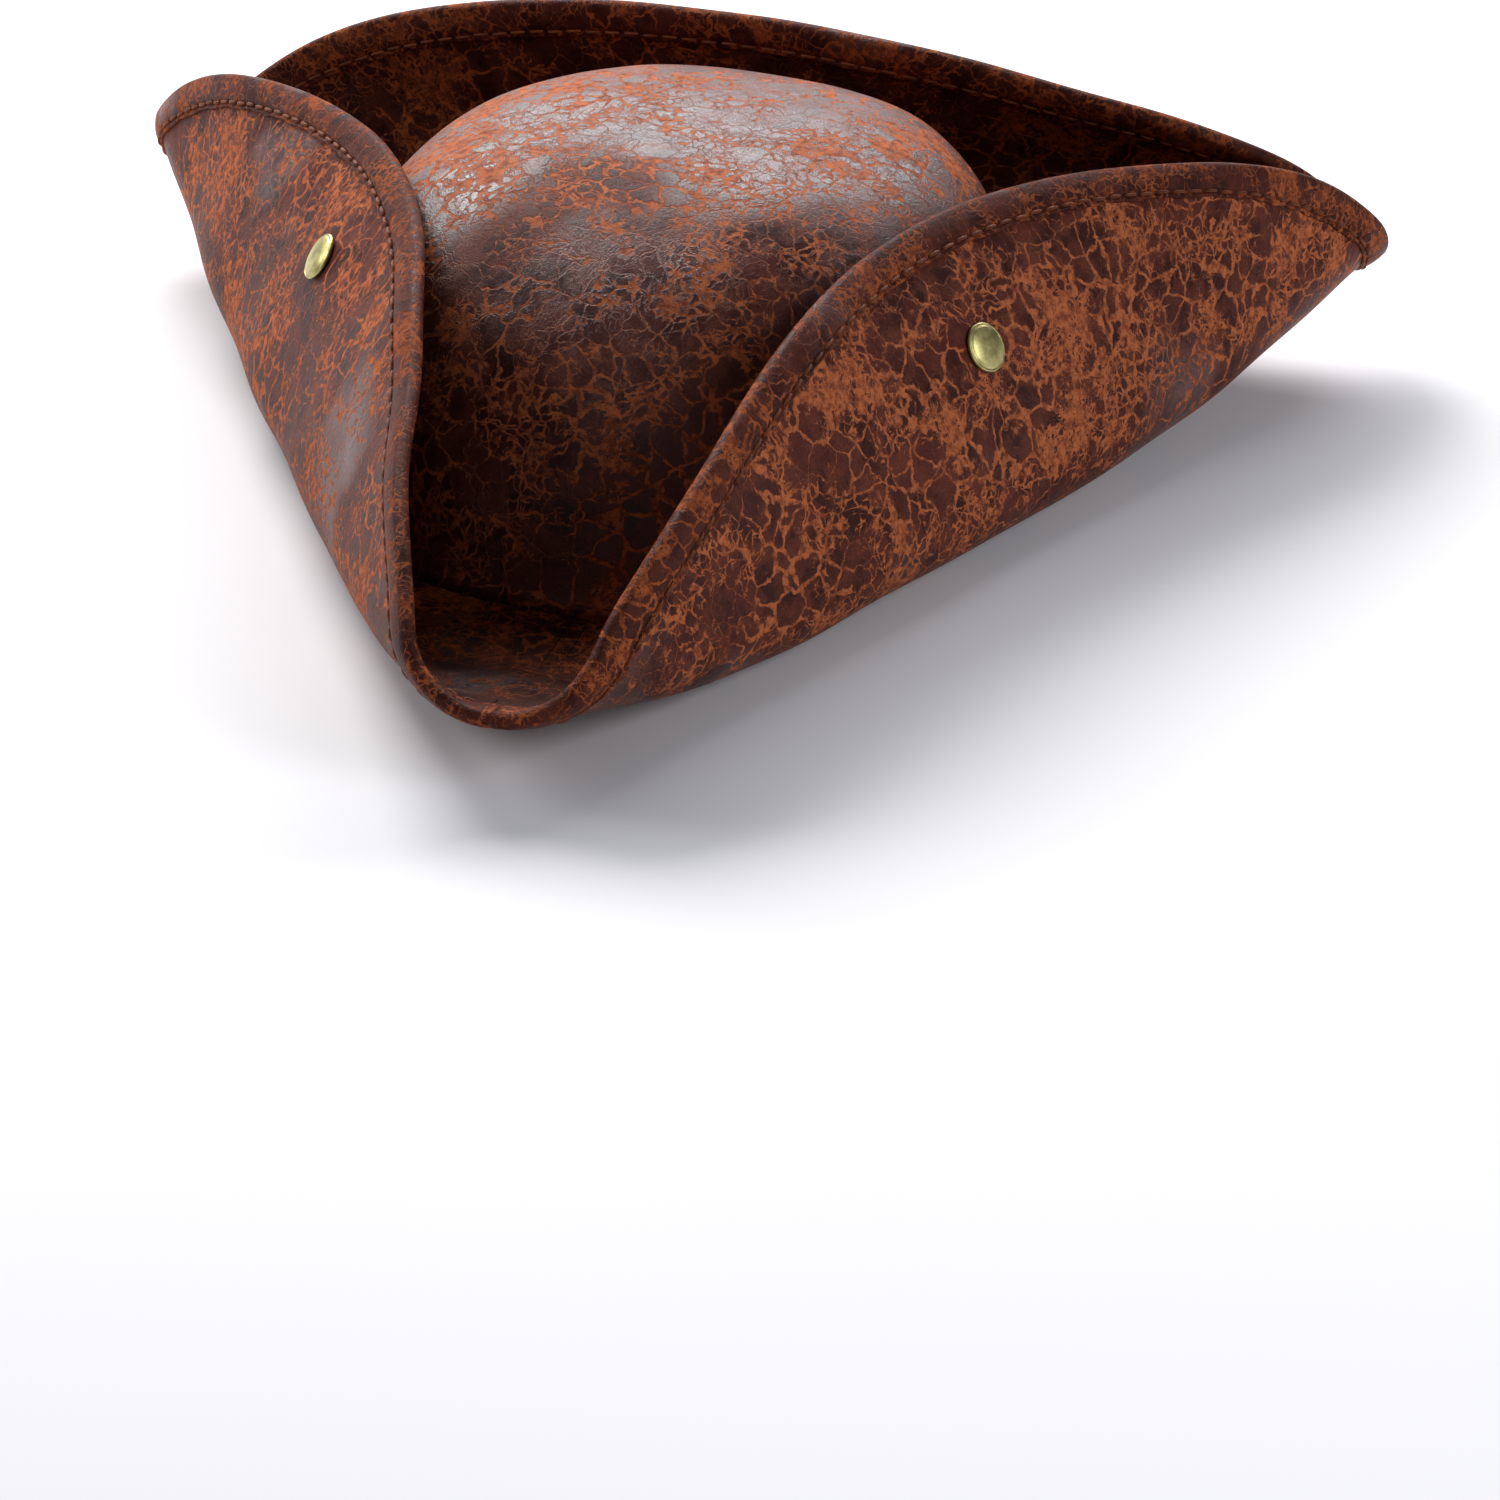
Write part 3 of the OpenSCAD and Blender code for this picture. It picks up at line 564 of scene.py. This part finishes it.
# ---- Crown, lining, sweatband ------------------------------------------------------


def crown_point(a, z, rho, d):
    """Point at angle a and height z, at share rho of the oval and d inside the outer skin."""
    q = 2 / PLAN
    g = CROWN_W + (CROWN_FULL - CROWN_W) * smooth(z / 30)
    l = CROWN_L - CROWN_TAPER * z / CROWN_H
    ca, sa = np.cos(a), np.sin(a)
    return np.stack([np.sign(ca) * np.abs(ca) ** q * (g - d) * rho,
                     np.sign(sa) * np.abs(sa) ** q * (l - d) * rho + CROWN_LEAN * z / CROWN_H,
                     z + 0 * a], -1)


def brim_top(xy):
    """Height of the brim's inner face under points of the row frame."""
    p = xy + np.array([0, OPENING_BACK])
    for _ in range(6):
        at = place(p, np.full(len(p), BRIM_T))[0]
        p = p + (xy - at[:, :2])
    return place(p, np.full(len(p), BRIM_T))[0][:, 2]


def soft_dents(p, n, size, amount, seed):
    out = np.empty(len(p))
    for i, c in enumerate(p):
        out[i] = noise.noise(Vector(c) / size + Vector((seed, seed * 1.7, 3.1)))
    return p + n * (out * amount)[:, None]


AROUND = 160            # points round the crown and the sweatband
# How the crown's five lowest rows follow the brim, and how far its skin flares out there
FOOT = ((1.0, 1.6), (0.8, 0.55), (0.55, 0.12), (0.3, 0.0), (0.12, 0.0))
WIDE_DENT, SMALL_DENT, SMALL_SHARE = 34, 14, 0.22


def stand_on_brim(flat, rows, z0):
    """Sets the dome's foot on the brim, with its outer skin flared out into the seam."""
    for k in (0, 1):
        o = k * (AROUND * rows + 1)
        for j, (share, flare) in enumerate(FOOT):
            idx = np.array([o + i * rows + j for i in range(AROUND)])
            base = flat[[o + i * rows for i in range(AROUND)]][:, :2]
            rise = brim_top(base) - 0.1 - z0
            flat[idx, 2] += rise * share
            if k == 0:
                out = unit(flat[idx, :2] / np.array([CROWN_W, CROWN_L]) ** 2)
                flat[idx, :2] += out * flare


def dome_piece(name, z0, inset, thick, rows=56, foot=False, seed=1.0, dent=0.9):
    """A softly dented dome that follows the crown's shape, as one closed shell."""
    q = 2 / SHOULDER
    u0 = math.asin((z0 / CROWN_H) ** (SHOULDER / 2))
    # even steps of arc length over the dome's profile
    fine = np.linspace(u0, math.pi / 2, 800)
    pz, pr = CROWN_H * np.sin(fine) ** q, 90 * np.cos(fine) ** q
    arc = np.concatenate([[0], np.cumsum(np.hypot(np.diff(pz), np.diff(pr)))])
    u = np.interp(np.linspace(0, arc[-1], rows + 1)[:-1], arc, fine)
    a = 2 * math.pi * np.arange(AROUND) / AROUND
    A, U = np.meshgrid(a, u, indexing="ij")
    skins = []
    for d in (inset, inset + thick):
        co = crown_point(A, (CROWN_H - d) * np.sin(U) ** q, np.cos(U) ** q, d)
        apex = np.array([[0, CROWN_LEAN, CROWN_H - d]])
        skins.append((co, apex))
    co, faces = [], []
    for k, (g, apex) in enumerate(skins):
        flat = np.concatenate([g.reshape(-1, 3), apex])
        centre = np.array([0, CROWN_LEAN / 2, 25])
        n = unit((flat - centre) / np.array([85.0, 95.0, 60.0]))
        height = np.clip((flat[:, 2] - 4) / 20, 0, 1)
        flat = flat + (soft_dents(flat, n, WIDE_DENT, dent, seed) - flat) * height[:, None]
        fine_dents = soft_dents(flat, n, SMALL_DENT, dent * SMALL_SHARE, seed + 5)
        flat = flat + (fine_dents - flat) * height[:, None]
        o = k * len(flat)
        faces += grid_quads(AROUND, rows, o, True, k == 1)
        for i in range(AROUND):
            m = (i + 1) % AROUND
            t = (o + i * rows + rows - 1, o + m * rows + rows - 1, o + AROUND * rows)
            faces.append(t if k == 0 else t[::-1])
        co.append(flat)
    flat = np.concatenate(co)
    if foot:
        stand_on_brim(flat, rows, z0)
    n1 = AROUND * rows + 1
    for i in range(AROUND):
        m = (i + 1) % AROUND
        faces.append((i * rows, n1 + i * rows, n1 + m * rows, m * rows))
    return make(name, flat, faces, flat + 500)


crown = dome_piece("crown_leather", 3.0, 0.0, WALL, foot=True)
record_piece(crown, "root", "leather", ["crown_shell"])
lining = dome_piece("crown_lining_cloth", 26.0, 6.4, 0.8, rows=40, seed=7.0, dent=0.5)
record_piece(lining, "root", "lining_cloth", ["crown_lining"])

BAND_H, BAND_T, BAND_IN = 30.0, 1.2, WALL + 0.3
# Heights and thicknesses round the sweatband's section, inner face first
BAND = ((0.35, 0.5), (0.3, 0.9), (0.5, 1.2), (2, 1.25), (6, 1.2), (12, 1.15), (18, 1.2),
        (24, 1.2), (28.6, 1.3), (29.6, 1.1), (BAND_H, 0.7), (29.6, 0.3), (28, 0.1), (18, 0),
        (8, 0), (1, 0), (0.4, 0.2))


def band_piece():
    a = 2 * math.pi * np.arange(AROUND) / AROUND
    co = []
    for z, t in BAND:
        ripple = 0.18 * np.sin(a * 9 + z * 0.1) * smooth((z - 6) / 14)
        d = BAND_IN + 1.2 * z / BAND_H + t + ripple
        co.append(crown_point(a, z + 0 * a, 1.0, d))
    co = np.stack(co, 1)
    k = len(BAND)
    faces = []
    for i in range(AROUND):
        m = (i + 1) % AROUND
        for j in range(k):
            n = (j + 1) % k
            faces.append((i * k + j, i * k + n, m * k + n, m * k + j))
    return make("sweatband_leather", co.reshape(-1, 3), faces, co.reshape(-1, 3) + 900)


record_piece(band_piece(), "root", "sweatband_leather", ["sweatband"])


def oval_threads(name, z_of, d_of, count, inward):
    """A ring of stitches on the crown's wall, at height z_of and d_of inside its skin."""
    paths = []
    for i in range(count):
        a = 2 * math.pi * (i + STITCH_T * 0.72) / count
        z = z_of(a)
        p = crown_point(a, z, 1.0, d_of)
        n = unit((p * np.array([1, 1, 0])) / np.array([CROWN_W ** 2, CROWN_L ** 2, 1]))
        paths.append(p + n * ((-1 if inward else 1) * STITCH_H[:, None]))
    return threads(name, paths, 0.38)


def seam_height(a):
    return brim_top(crown_point(a, 3.0 + 0 * a, 1.0, 0)[:, :2]) + 2.4


record_piece(oval_threads("crown_seam_thread", seam_height, 0.1, 104, False), "root", "thread",
             ["crown_seam_stitching"])
record_piece(oval_threads("sweatband_thread", lambda a: 3.2 + 0 * a, BAND_IN + BAND_T + 0.15,
                          96, True), "root", "thread", ["sweatband_stitching"])

# ---- Caps of the press studs -------------------------------------------------------

CAP_R = 6.25


def lathe(name, profile, origin, axis, sides=96):
    """A turned piece: profile lists radius and height from one end of its axis to the other."""
    z = unit(axis)
    y = unit(np.cross(z, [0, 1, 0]))
    x = np.cross(y, z)
    co, faces = [], []
    k = len(profile)
    for i in range(sides):
        a = 2 * math.pi * i / sides
        for r, h in profile[1:-1]:
            co.append(origin + (x * math.cos(a) + y * math.sin(a)) * r + z * h)
    k -= 2
    for i in range(sides):
        m = (i + 1) % sides
        for j in range(k - 1):
            faces.append((i * k + j, m * k + j, m * k + j + 1, i * k + j + 1))
    co += [origin + z * profile[0][1], origin + z * profile[-1][1]]
    first, last = len(co) - 2, len(co) - 1
    for i in range(sides):
        m = (i + 1) % sides
        faces += [(first, m * k, i * k), (last, i * k + k - 1, m * k + k - 1)]
    co = np.array(co)
    return make(name, co, faces, co)


def cap_profile():
    """From the dome's middle, over the rolled rim, to the back and down the shank."""
    out = [(0, -2.15)]
    for t in np.linspace(0.08, 0.9, 14):
        out.append((CAP_R * t * 0.93, -1.28 - 0.87 * (1 - t ** 2.4)))
    out += [(CAP_R * 0.885, -1.2), (CAP_R * 0.92, -1.17)]
    for t in np.linspace(0, math.pi, 9):
        out.append((CAP_R - 0.5 + 0.5 * math.sin(t), -0.72 - 0.5 * math.cos(t)))
    out += [(CAP_R - 0.7, -0.12), (1.5, -0.1), (1.5, BRIM_T + 0.3), (0, BRIM_T + 0.3)]
    return out


for side in ("right", "left"):
    c = CAPS[side][None]
    at, n = place(c, np.zeros(1))
    o = lathe(side + "_snap_cap_dome", cap_profile(), at[0], n[0])
    record_piece(o, side + "_flap", "brass", [side + "_snap_cap"])

# ---- Materials ---------------------------------------------------------------------


class Nodes:
    """A short way to write a node tree."""

    def __init__(self, name):
        self.mat = bpy.data.materials.new(name)
        self.mat.use_nodes = True
        self.tree = self.mat.node_tree
        self.tree.nodes.clear()
        self.out = self.tree.nodes.new("ShaderNodeOutputMaterial")
        self.bsdf = self.tree.nodes.new("ShaderNodeBsdfPrincipled")
        self.link(self.bsdf.outputs[0], self.out.inputs[0])

    def link(self, a, b):
        self.tree.links.new(a, b)

    def put(self, socket, value):
        if isinstance(value, bpy.types.NodeSocket):
            self.link(value, socket)
        else:
            socket.default_value = value

    def add(self, kind, out=0, settings=None, **inputs):
        n = self.tree.nodes.new(kind)
        for k, v in (settings or {}).items():
            setattr(n, k, v)
        for k, v in inputs.items():
            key = int(k[1:]) if k[0] == "i" and k[1:].isdigit() else k.replace("_", " ")
            self.put(n.inputs[key], v)
        return n.outputs[out]

    def math(self, op, a, b=0.0, c=0.0):
        return self.add("ShaderNodeMath", settings={"operation": op}, i0=a, i1=b, i2=c)

    def vmath(self, op, a, b=(0, 0, 0)):
        return self.add("ShaderNodeVectorMath", settings={"operation": op}, i0=a, i1=b)

    def scale(self, v, k):
        n = self.tree.nodes.new("ShaderNodeVectorMath")
        n.operation = "SCALE"
        self.put(n.inputs[0], v)
        self.put(n.inputs["Scale"], k)
        return n.outputs[0]

    def ramp(self, x, lo, hi, a=0.0, b=1.0):
        return self.add("ShaderNodeMapRange", settings={"interpolation_type": "SMOOTHSTEP"},
                        i0=x, i1=lo, i2=hi, i3=a, i4=b)

    def mix(self, t, a, b):
        n = self.tree.nodes.new("ShaderNodeMix")
        n.data_type = "RGBA"
        self.put(n.inputs[0], t)
        self.put(n.inputs[6], a)
        self.put(n.inputs[7], b)
        return n.outputs[2]

    def lerp(self, t, a, b):
        return self.add("ShaderNodeMix", i0=t, i2=a, i3=b)

    def noise(self, v, scale, detail=3.0, rough=0.5, distortion=0.0, out=0):
        return self.add("ShaderNodeTexNoise", out=out, Vector=v, Scale=scale, Detail=detail,
                        Roughness=rough, Distortion=distortion)

    def cracks(self, v, scale, randomness=1.0):
        return self.add("ShaderNodeTexVoronoi", settings={"feature": "DISTANCE_TO_EDGE"},
                        Vector=v, Scale=scale, Randomness=randomness)

    def cells(self, v, scale):
        return self.add("ShaderNodeTexVoronoi", out=1, Vector=v, Scale=scale)

    def bump(self, height, distance, strength=1.0, normal=None):
        n = self.tree.nodes.new("ShaderNodeBump")
        n.inputs["Strength"].default_value = strength
        n.inputs["Distance"].default_value = distance
        self.link(height, n.inputs["Height"])
        if normal is not None:
            self.link(normal, n.inputs["Normal"])
        return n.outputs[0]

    def finish(self, color, rough, normal=None, **more):
        self.put(self.bsdf.inputs["Base Color"], color)
        self.put(self.bsdf.inputs["Roughness"], rough)
        if normal is not None:
            self.link(normal, self.bsdf.inputs["Normal"])
        for k, v in more.items():
            self.put(self.bsdf.inputs[k.replace("_", " ")], v)
        return self.mat


def leather_material(name, tan, rust, dark, black, vein=1.0, scale=1.0, polish=(0.60, 0.80),
                     gloss=(0.38, 0.30), shine=1.0):
    """Distressed leather cloth: a dark top coat, cracked off to the orange below.

    Texture coordinates are millimetres on the flat sheet. vein widens the cracks and scale
    makes the whole pattern finer. The top coat gets polished as a slow noise passes through
    the range polish: its roughness goes through gloss, and its reflection rises to shine.
    """
    m = Nodes(name)
    v = m.scale(m.add("ShaderNodeAttribute", out=1, settings={"attribute_name": "grain"}),
                scale)
    # warp the coordinate at three sizes, so that no crack is straight or smooth
    p = v
    for size, detail, reach in ((0.05, 3.0, 13.0), (0.36, 3.0, 2.2), (1.8, 3.0, 0.6)):
        w = m.noise(v, size, detail, 0.66, out=1)
        p = m.vmath("ADD", p, m.scale(m.vmath("SUBTRACT", w, (0.5, 0.5, 0.5)), reach))
    fibre = m.noise(p, 1.7, 5.0, 0.75)
    rag = m.math("MULTIPLY", m.math("SUBTRACT", fibre, 0.5), 0.55)
    # how worn a place is, from 0 to 1, with ragged borders
    worn = m.ramp(m.noise(v, 0.021, 7.0, 0.64, 0.5), 0.43, 0.60)
    worn2 = m.ramp(m.noise(m.vmath("ADD", v, (90.0, 20.0, 5.0)), 0.055, 6.0, 0.68), 0.43, 0.59)
    both = m.math("MULTIPLY", worn, worn2)
    open_ = None
    # three nets of cracks, coarse to fine: where, how many per mm, and how wide they gape in
    # the least and in the most worn places
    for place_, size, low, high, wear in (((0.0, 0.0, 0.0), 0.125, 0.05, 0.52, worn),
                                          ((31.0, 7.0, 2.0), 0.30, -0.16, 0.36, worn2),
                                          ((5.0, 61.0, 9.0), 0.72, -0.32, 0.28, both)):
        edge = m.math("DIVIDE", m.cracks(m.vmath("ADD", p, place_), size), size)
        width = m.lerp(wear, low * vein, high * vein)
        gape = m.math("SUBTRACT", m.math("SUBTRACT", width, edge), rag)
        open_ = gape if open_ is None else m.math("MAXIMUM", open_, gape)
    bare = m.ramp(open_, -0.035, 0.045)
    halo = m.ramp(open_, -0.40, 0.02)
    # hair cracks that only show as thin rusty lines inside the flakes
    hair = m.cracks(m.vmath("ADD", p, (13.0, 3.0, 71.0)), 0.95)
    hairs = m.math("MULTIPLY", m.ramp(hair, 0.0, 0.10, 1.0, 0.0),
                   m.ramp(m.noise(v, 0.13, 3.0), 0.40, 0.62))
    tone = m.noise(v, 0.13, 5.0, 0.62)
    flake = m.mix(m.ramp(m.cells(p, 0.135), 0.2, 0.8), black, dark)
    flake = m.mix(m.math("MULTIPLY", m.ramp(tone, 0.44, 0.66), 0.35), flake, rust)
    flake = m.mix(m.math("MULTIPLY", halo, 0.30), flake, rust)
    flake = m.mix(m.math("MULTIPLY", hairs, 0.55), flake, rust)
    under = m.mix(m.ramp(m.noise(v, 0.45, 5.0, 0.7), 0.36, 0.60), rust, tan)
    under = m.mix(m.math("MULTIPLY", m.ramp(fibre, 0.52, 0.70), 0.45), under, dark)
    color = m.mix(bare, flake, under)
    # relief: flakes stand a little proud, and a fine grain with short wrinkles
    grain1 = m.noise(m.vmath("MULTIPLY", p, (1.0, 0.62, 1.0)), 0.75, 3.0, 0.6)
    grain2 = m.noise(v, 2.1, 2.0, 0.6)
    height = m.math("ADD", m.math("MULTIPLY", m.ramp(open_, -0.25, 0.10, 1.0, 0.0), 0.40),
                    m.math("ADD", m.math("MULTIPLY", grain1, 0.60),
                           m.math("MULTIPLY", grain2, 0.34)))
    height = m.math("SUBTRACT", height, m.math("MULTIPLY", hairs, 0.16))
    normal = m.bump(height, 0.00032, 0.85)
    shiny = m.ramp(m.noise(m.vmath("ADD", v, (7.0, 3.0, 50.0)), 0.016, 3.0),
                   *polish)
    rough = m.lerp(bare, m.lerp(shiny, *gloss), 0.52)
    rough = m.math("ADD", rough, m.math("MULTIPLY", m.math("SUBTRACT", tone, 0.5), 0.25))
    # the top coat reflects little but where it is polished, and the bare cloth hardly at all
    spec = m.lerp(bare, m.lerp(shiny, 0.08, shine), 0.035)
    m.bsdf.inputs["Specular IOR Level"].default_value = 0.15
    return m.finish(color, rough, normal, Specular_IOR_Level=spec, IOR=1.36)


def thread_material():
    """Twisted orange-tan thread."""
    m = Nodes("thread")
    g = m.add("ShaderNodeAttribute", out=1, settings={"attribute_name": "grain"})
    twist = m.add("ShaderNodeTexWave", settings={"bands_direction": "DIAGONAL"}, Vector=g,
                  Scale=0.42, Distortion=0.6)
    tone = m.noise(g, 0.05, 2.0)
    color = m.mix(m.ramp(tone, 0.3, 0.7), (0.130, 0.034, 0.012, 1), (0.250, 0.066, 0.020, 1))
    color = m.mix(m.math("MULTIPLY", twist, 0.35), color, (0.14, 0.035, 0.014, 1))
    return m.finish(color, 0.65, m.bump(twist, 0.00012, 0.8), Specular_IOR_Level=0.25)


def cloth_material(name, a, b, pitch):
    """Plain weave between colours a and b, with pitch millimetres from yarn to yarn."""
    m = Nodes(name)
    g = m.add("ShaderNodeTexCoord", out=3)
    wx = m.add("ShaderNodeTexWave", settings={"bands_direction": "X"}, Vector=g,
               Scale=1 / (pitch * MM) / 20, Distortion=0.4)
    wy = m.add("ShaderNodeTexWave", settings={"bands_direction": "Z"}, Vector=g,
               Scale=1 / (pitch * MM) / 20, Distortion=0.4)
    weave = m.math("MULTIPLY", wx, wy)
    fuzz = m.noise(g, 900.0, 3.0)
    color = m.mix(m.math("ADD", m.math("MULTIPLY", weave, 0.6), m.math("MULTIPLY", fuzz, 0.4)),
                  a, b)
    return m.finish(color, 0.82, m.bump(weave, 0.00018, 0.6), Sheen_Weight=0.15)


def brass_material():
    """Antiqued satin brass with faint scratches and darker hollows."""
    m = Nodes("brass")
    g = m.add("ShaderNodeTexCoord", out=3)
    tone = m.noise(g, 420.0, 4.0, 0.6)
    spots = m.noise(g, 1500.0, 3.0, 0.7)
    color = m.mix(m.ramp(tone, 0.32, 0.72), (0.34, 0.29, 0.115, 1), (0.56, 0.50, 0.21, 1))
    color = m.mix(m.math("MULTIPLY", m.ramp(spots, 0.58, 0.75), 0.35), color,
                  (0.20, 0.14, 0.05, 1))
    rough = m.math("ADD", 0.27, m.math("MULTIPLY", tone, 0.22))
    bump = m.bump(m.math("ADD", tone, m.math("MULTIPLY", spots, 0.4)), 0.00010, 0.7)
    return m.finish(color, rough, bump, Metallic=1.0)


def board_material():
    """Bonded fibre board."""
    m = Nodes("board")
    g = m.add("ShaderNodeAttribute", out=1, settings={"attribute_name": "grain"})
    f = m.noise(g, 0.9, 5.0, 0.7, 1.5)
    return m.finish(m.mix(f, (0.20, 0.17, 0.13, 1), (0.42, 0.37, 0.29, 1)), 0.9,
                    m.bump(f, 0.0002, 0.5))


TAN = (0.460, 0.131, 0.049, 1)
RUST = (0.185, 0.048, 0.024, 1)
DARK = (0.082, 0.0195, 0.0140, 1)
BLACK = (0.0365, 0.0105, 0.0085, 1)

MATERIALS = {
    "leather": leather_material("leather", TAN, RUST, DARK, BLACK),
    "leather_crown": leather_material("leather_crown", TAN, RUST, DARK, BLACK,
                                      polish=(0.30, 0.55), gloss=(0.42, 0.38),
                                      shine=0.72),
    # The inner faces, which lie in the hat's shade, take the same leather at about half the
    # brightness: painted shade
    "leather_inside": leather_material("leather_inside", (0.280, 0.070, 0.021, 1),
                                       (0.105, 0.025, 0.011, 1), (0.044, 0.0105, 0.0070, 1),
                                       (0.0220, 0.0062, 0.0050, 1), vein=0.8),
    "leather_trim": leather_material("leather_trim", (0.330, 0.086, 0.028, 1),
                                     (0.138, 0.032, 0.015, 1), (0.066, 0.0150, 0.0100, 1),
                                     (0.0330, 0.0090, 0.0070, 1), vein=0.85, scale=1.25),
    "sweatband_leather": leather_material("sweatband_leather", (0.060, 0.026, 0.016, 1),
                                          (0.045, 0.019, 0.013, 1), (0.034, 0.015, 0.011, 1),
                                          (0.024, 0.011, 0.009, 1), vein=0.5),
    "lining_cloth": cloth_material("lining_cloth", (0.006, 0.005, 0.006, 1),
                                   (0.022, 0.019, 0.021, 1), 0.5),
    "thread": thread_material(),
    "brass": brass_material(),
    "board": board_material(),
}

for obj, slot in made:
    obj.data.materials.clear()
    obj.data.materials.append(MATERIALS["leather_crown" if obj is crown else slot])
for name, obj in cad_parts.items():
    if not obj.hide_render:
        obj.data.materials.clear()
        obj.data.materials.append(MATERIALS["brass"])

# ---- Blank grids of floor and flaps, worked out again and not used -----------------


# The floor is a three-cornered ring round the head opening, and fills a little less of its
# rectangle than the least share that can be declared
floor = floor_grid()
for side, f in FOLDS.items():
    grid = flap_grid(f)

# ---- Floor, light, camera ----------------------------------------------------------

FLOOR_SIZE, FLOOR_Z = 14, -0.0007       # just below the tape's lowest points
bpy.ops.mesh.primitive_plane_add(size=FLOOR_SIZE, location=(0, 0, FLOOR_Z))
ground = bpy.context.object
ground.name = "studio_floor"
gm = Nodes("paper")
speck = gm.noise(gm.add("ShaderNodeTexCoord", out=3), 3.0, 2.0)
ground.data.materials.append(gm.finish(
    gm.mix(speck, (0.795, 0.79, 0.81, 1), (0.82, 0.815, 0.835, 1)), 0.9))

world = bpy.data.worlds.new("studio")
bpy.context.scene.world = world
world.use_nodes = True
world.node_tree.nodes["Background"].inputs[0].default_value = (0.86, 0.88, 0.95, 1)
world.node_tree.nodes["Background"].inputs[1].default_value = 0.15


def softbox(name, place_, target, size, power, color):
    light = bpy.data.lights.new(name, "AREA")
    light.shape, light.size, light.size_y = "RECTANGLE", size[0], size[1]
    light.energy, light.color = power, color
    o = bpy.data.objects.new(name, light)
    bpy.context.scene.collection.objects.link(o)
    o.location = place_
    o.rotation_euler = (Vector(target) - Vector(place_)).to_track_quat("-Z", "Y").to_euler()


softbox("key", (-0.75, 1.0, 1.0), (0, 0, 0.04), (0.9, 0.7), 36, (1.0, 0.985, 0.97))
softbox("top_back", (0.15, 1.25, 0.85), (0, 0, 0.06), (1.1, 0.4), 16, (0.95, 0.96, 1.0))
softbox("left_fill", (-1.45, 0.10, 0.80), (0, 0, 0.05), (0.6, 0.7), 10, (0.95, 0.97, 1.0))
softbox("right_fill", (1.3, -0.35, 0.75), (0, 0, 0.05), (0.6, 0.8), 9, (0.93, 0.96, 1.0))

# The camera's place was fitted to the hat's outlines: direction and distance to a target
# point, and where that point lands in a square view of VIEW_PX pixels
AZ, EL, DIST, FOCAL_PX, VIEW_PX = 12.57, 23.28, 1.23949, 4929.8, 1500.0
TARGET, LANDS, ROLL = Vector((0, -OPENING_BACK * MM, 0.05)), (662.94, 280.65), 0.8


def place_camera():
    az, el = math.radians(AZ), math.radians(EL)
    back = Vector((math.sin(az) * math.cos(el), -math.cos(az) * math.cos(el), math.sin(el)))
    dx = (LANDS[0] - VIEW_PX / 2) / FOCAL_PX
    dy = (VIEW_PX / 2 - LANDS[1]) / FOCAL_PX
    reach = math.sqrt(1 + dx * dx + dy * dy)
    q = math.asin(reach * math.sin(el) / math.hypot(dy, 1)) + math.atan2(dy, 1)
    azc = az + math.atan2(dx, math.cos(q) + dy * math.sin(q))
    ahead = Vector((-math.sin(azc) * math.cos(q), math.cos(azc) * math.cos(q), -math.sin(q)))
    right = Vector((math.cos(azc), math.sin(azc), 0))
    up = right.cross(ahead)
    r = math.radians(ROLL)
    right, up = right * math.cos(r) + up * math.sin(r), up * math.cos(r) - right * math.sin(r)
    cam = bpy.data.cameras.new("camera")
    cam.lens, cam.sensor_width = FOCAL_PX / VIEW_PX * 36, 36
    o = bpy.data.objects.new("camera", cam)
    bpy.context.scene.collection.objects.link(o)
    m = Matrix((right, up, -ahead)).transposed().to_4x4()
    m.translation = TARGET + back * DIST
    o.matrix_world = m
    bpy.context.scene.camera = o


place_camera()
bpy.context.scene.view_settings.view_transform = "Standard"
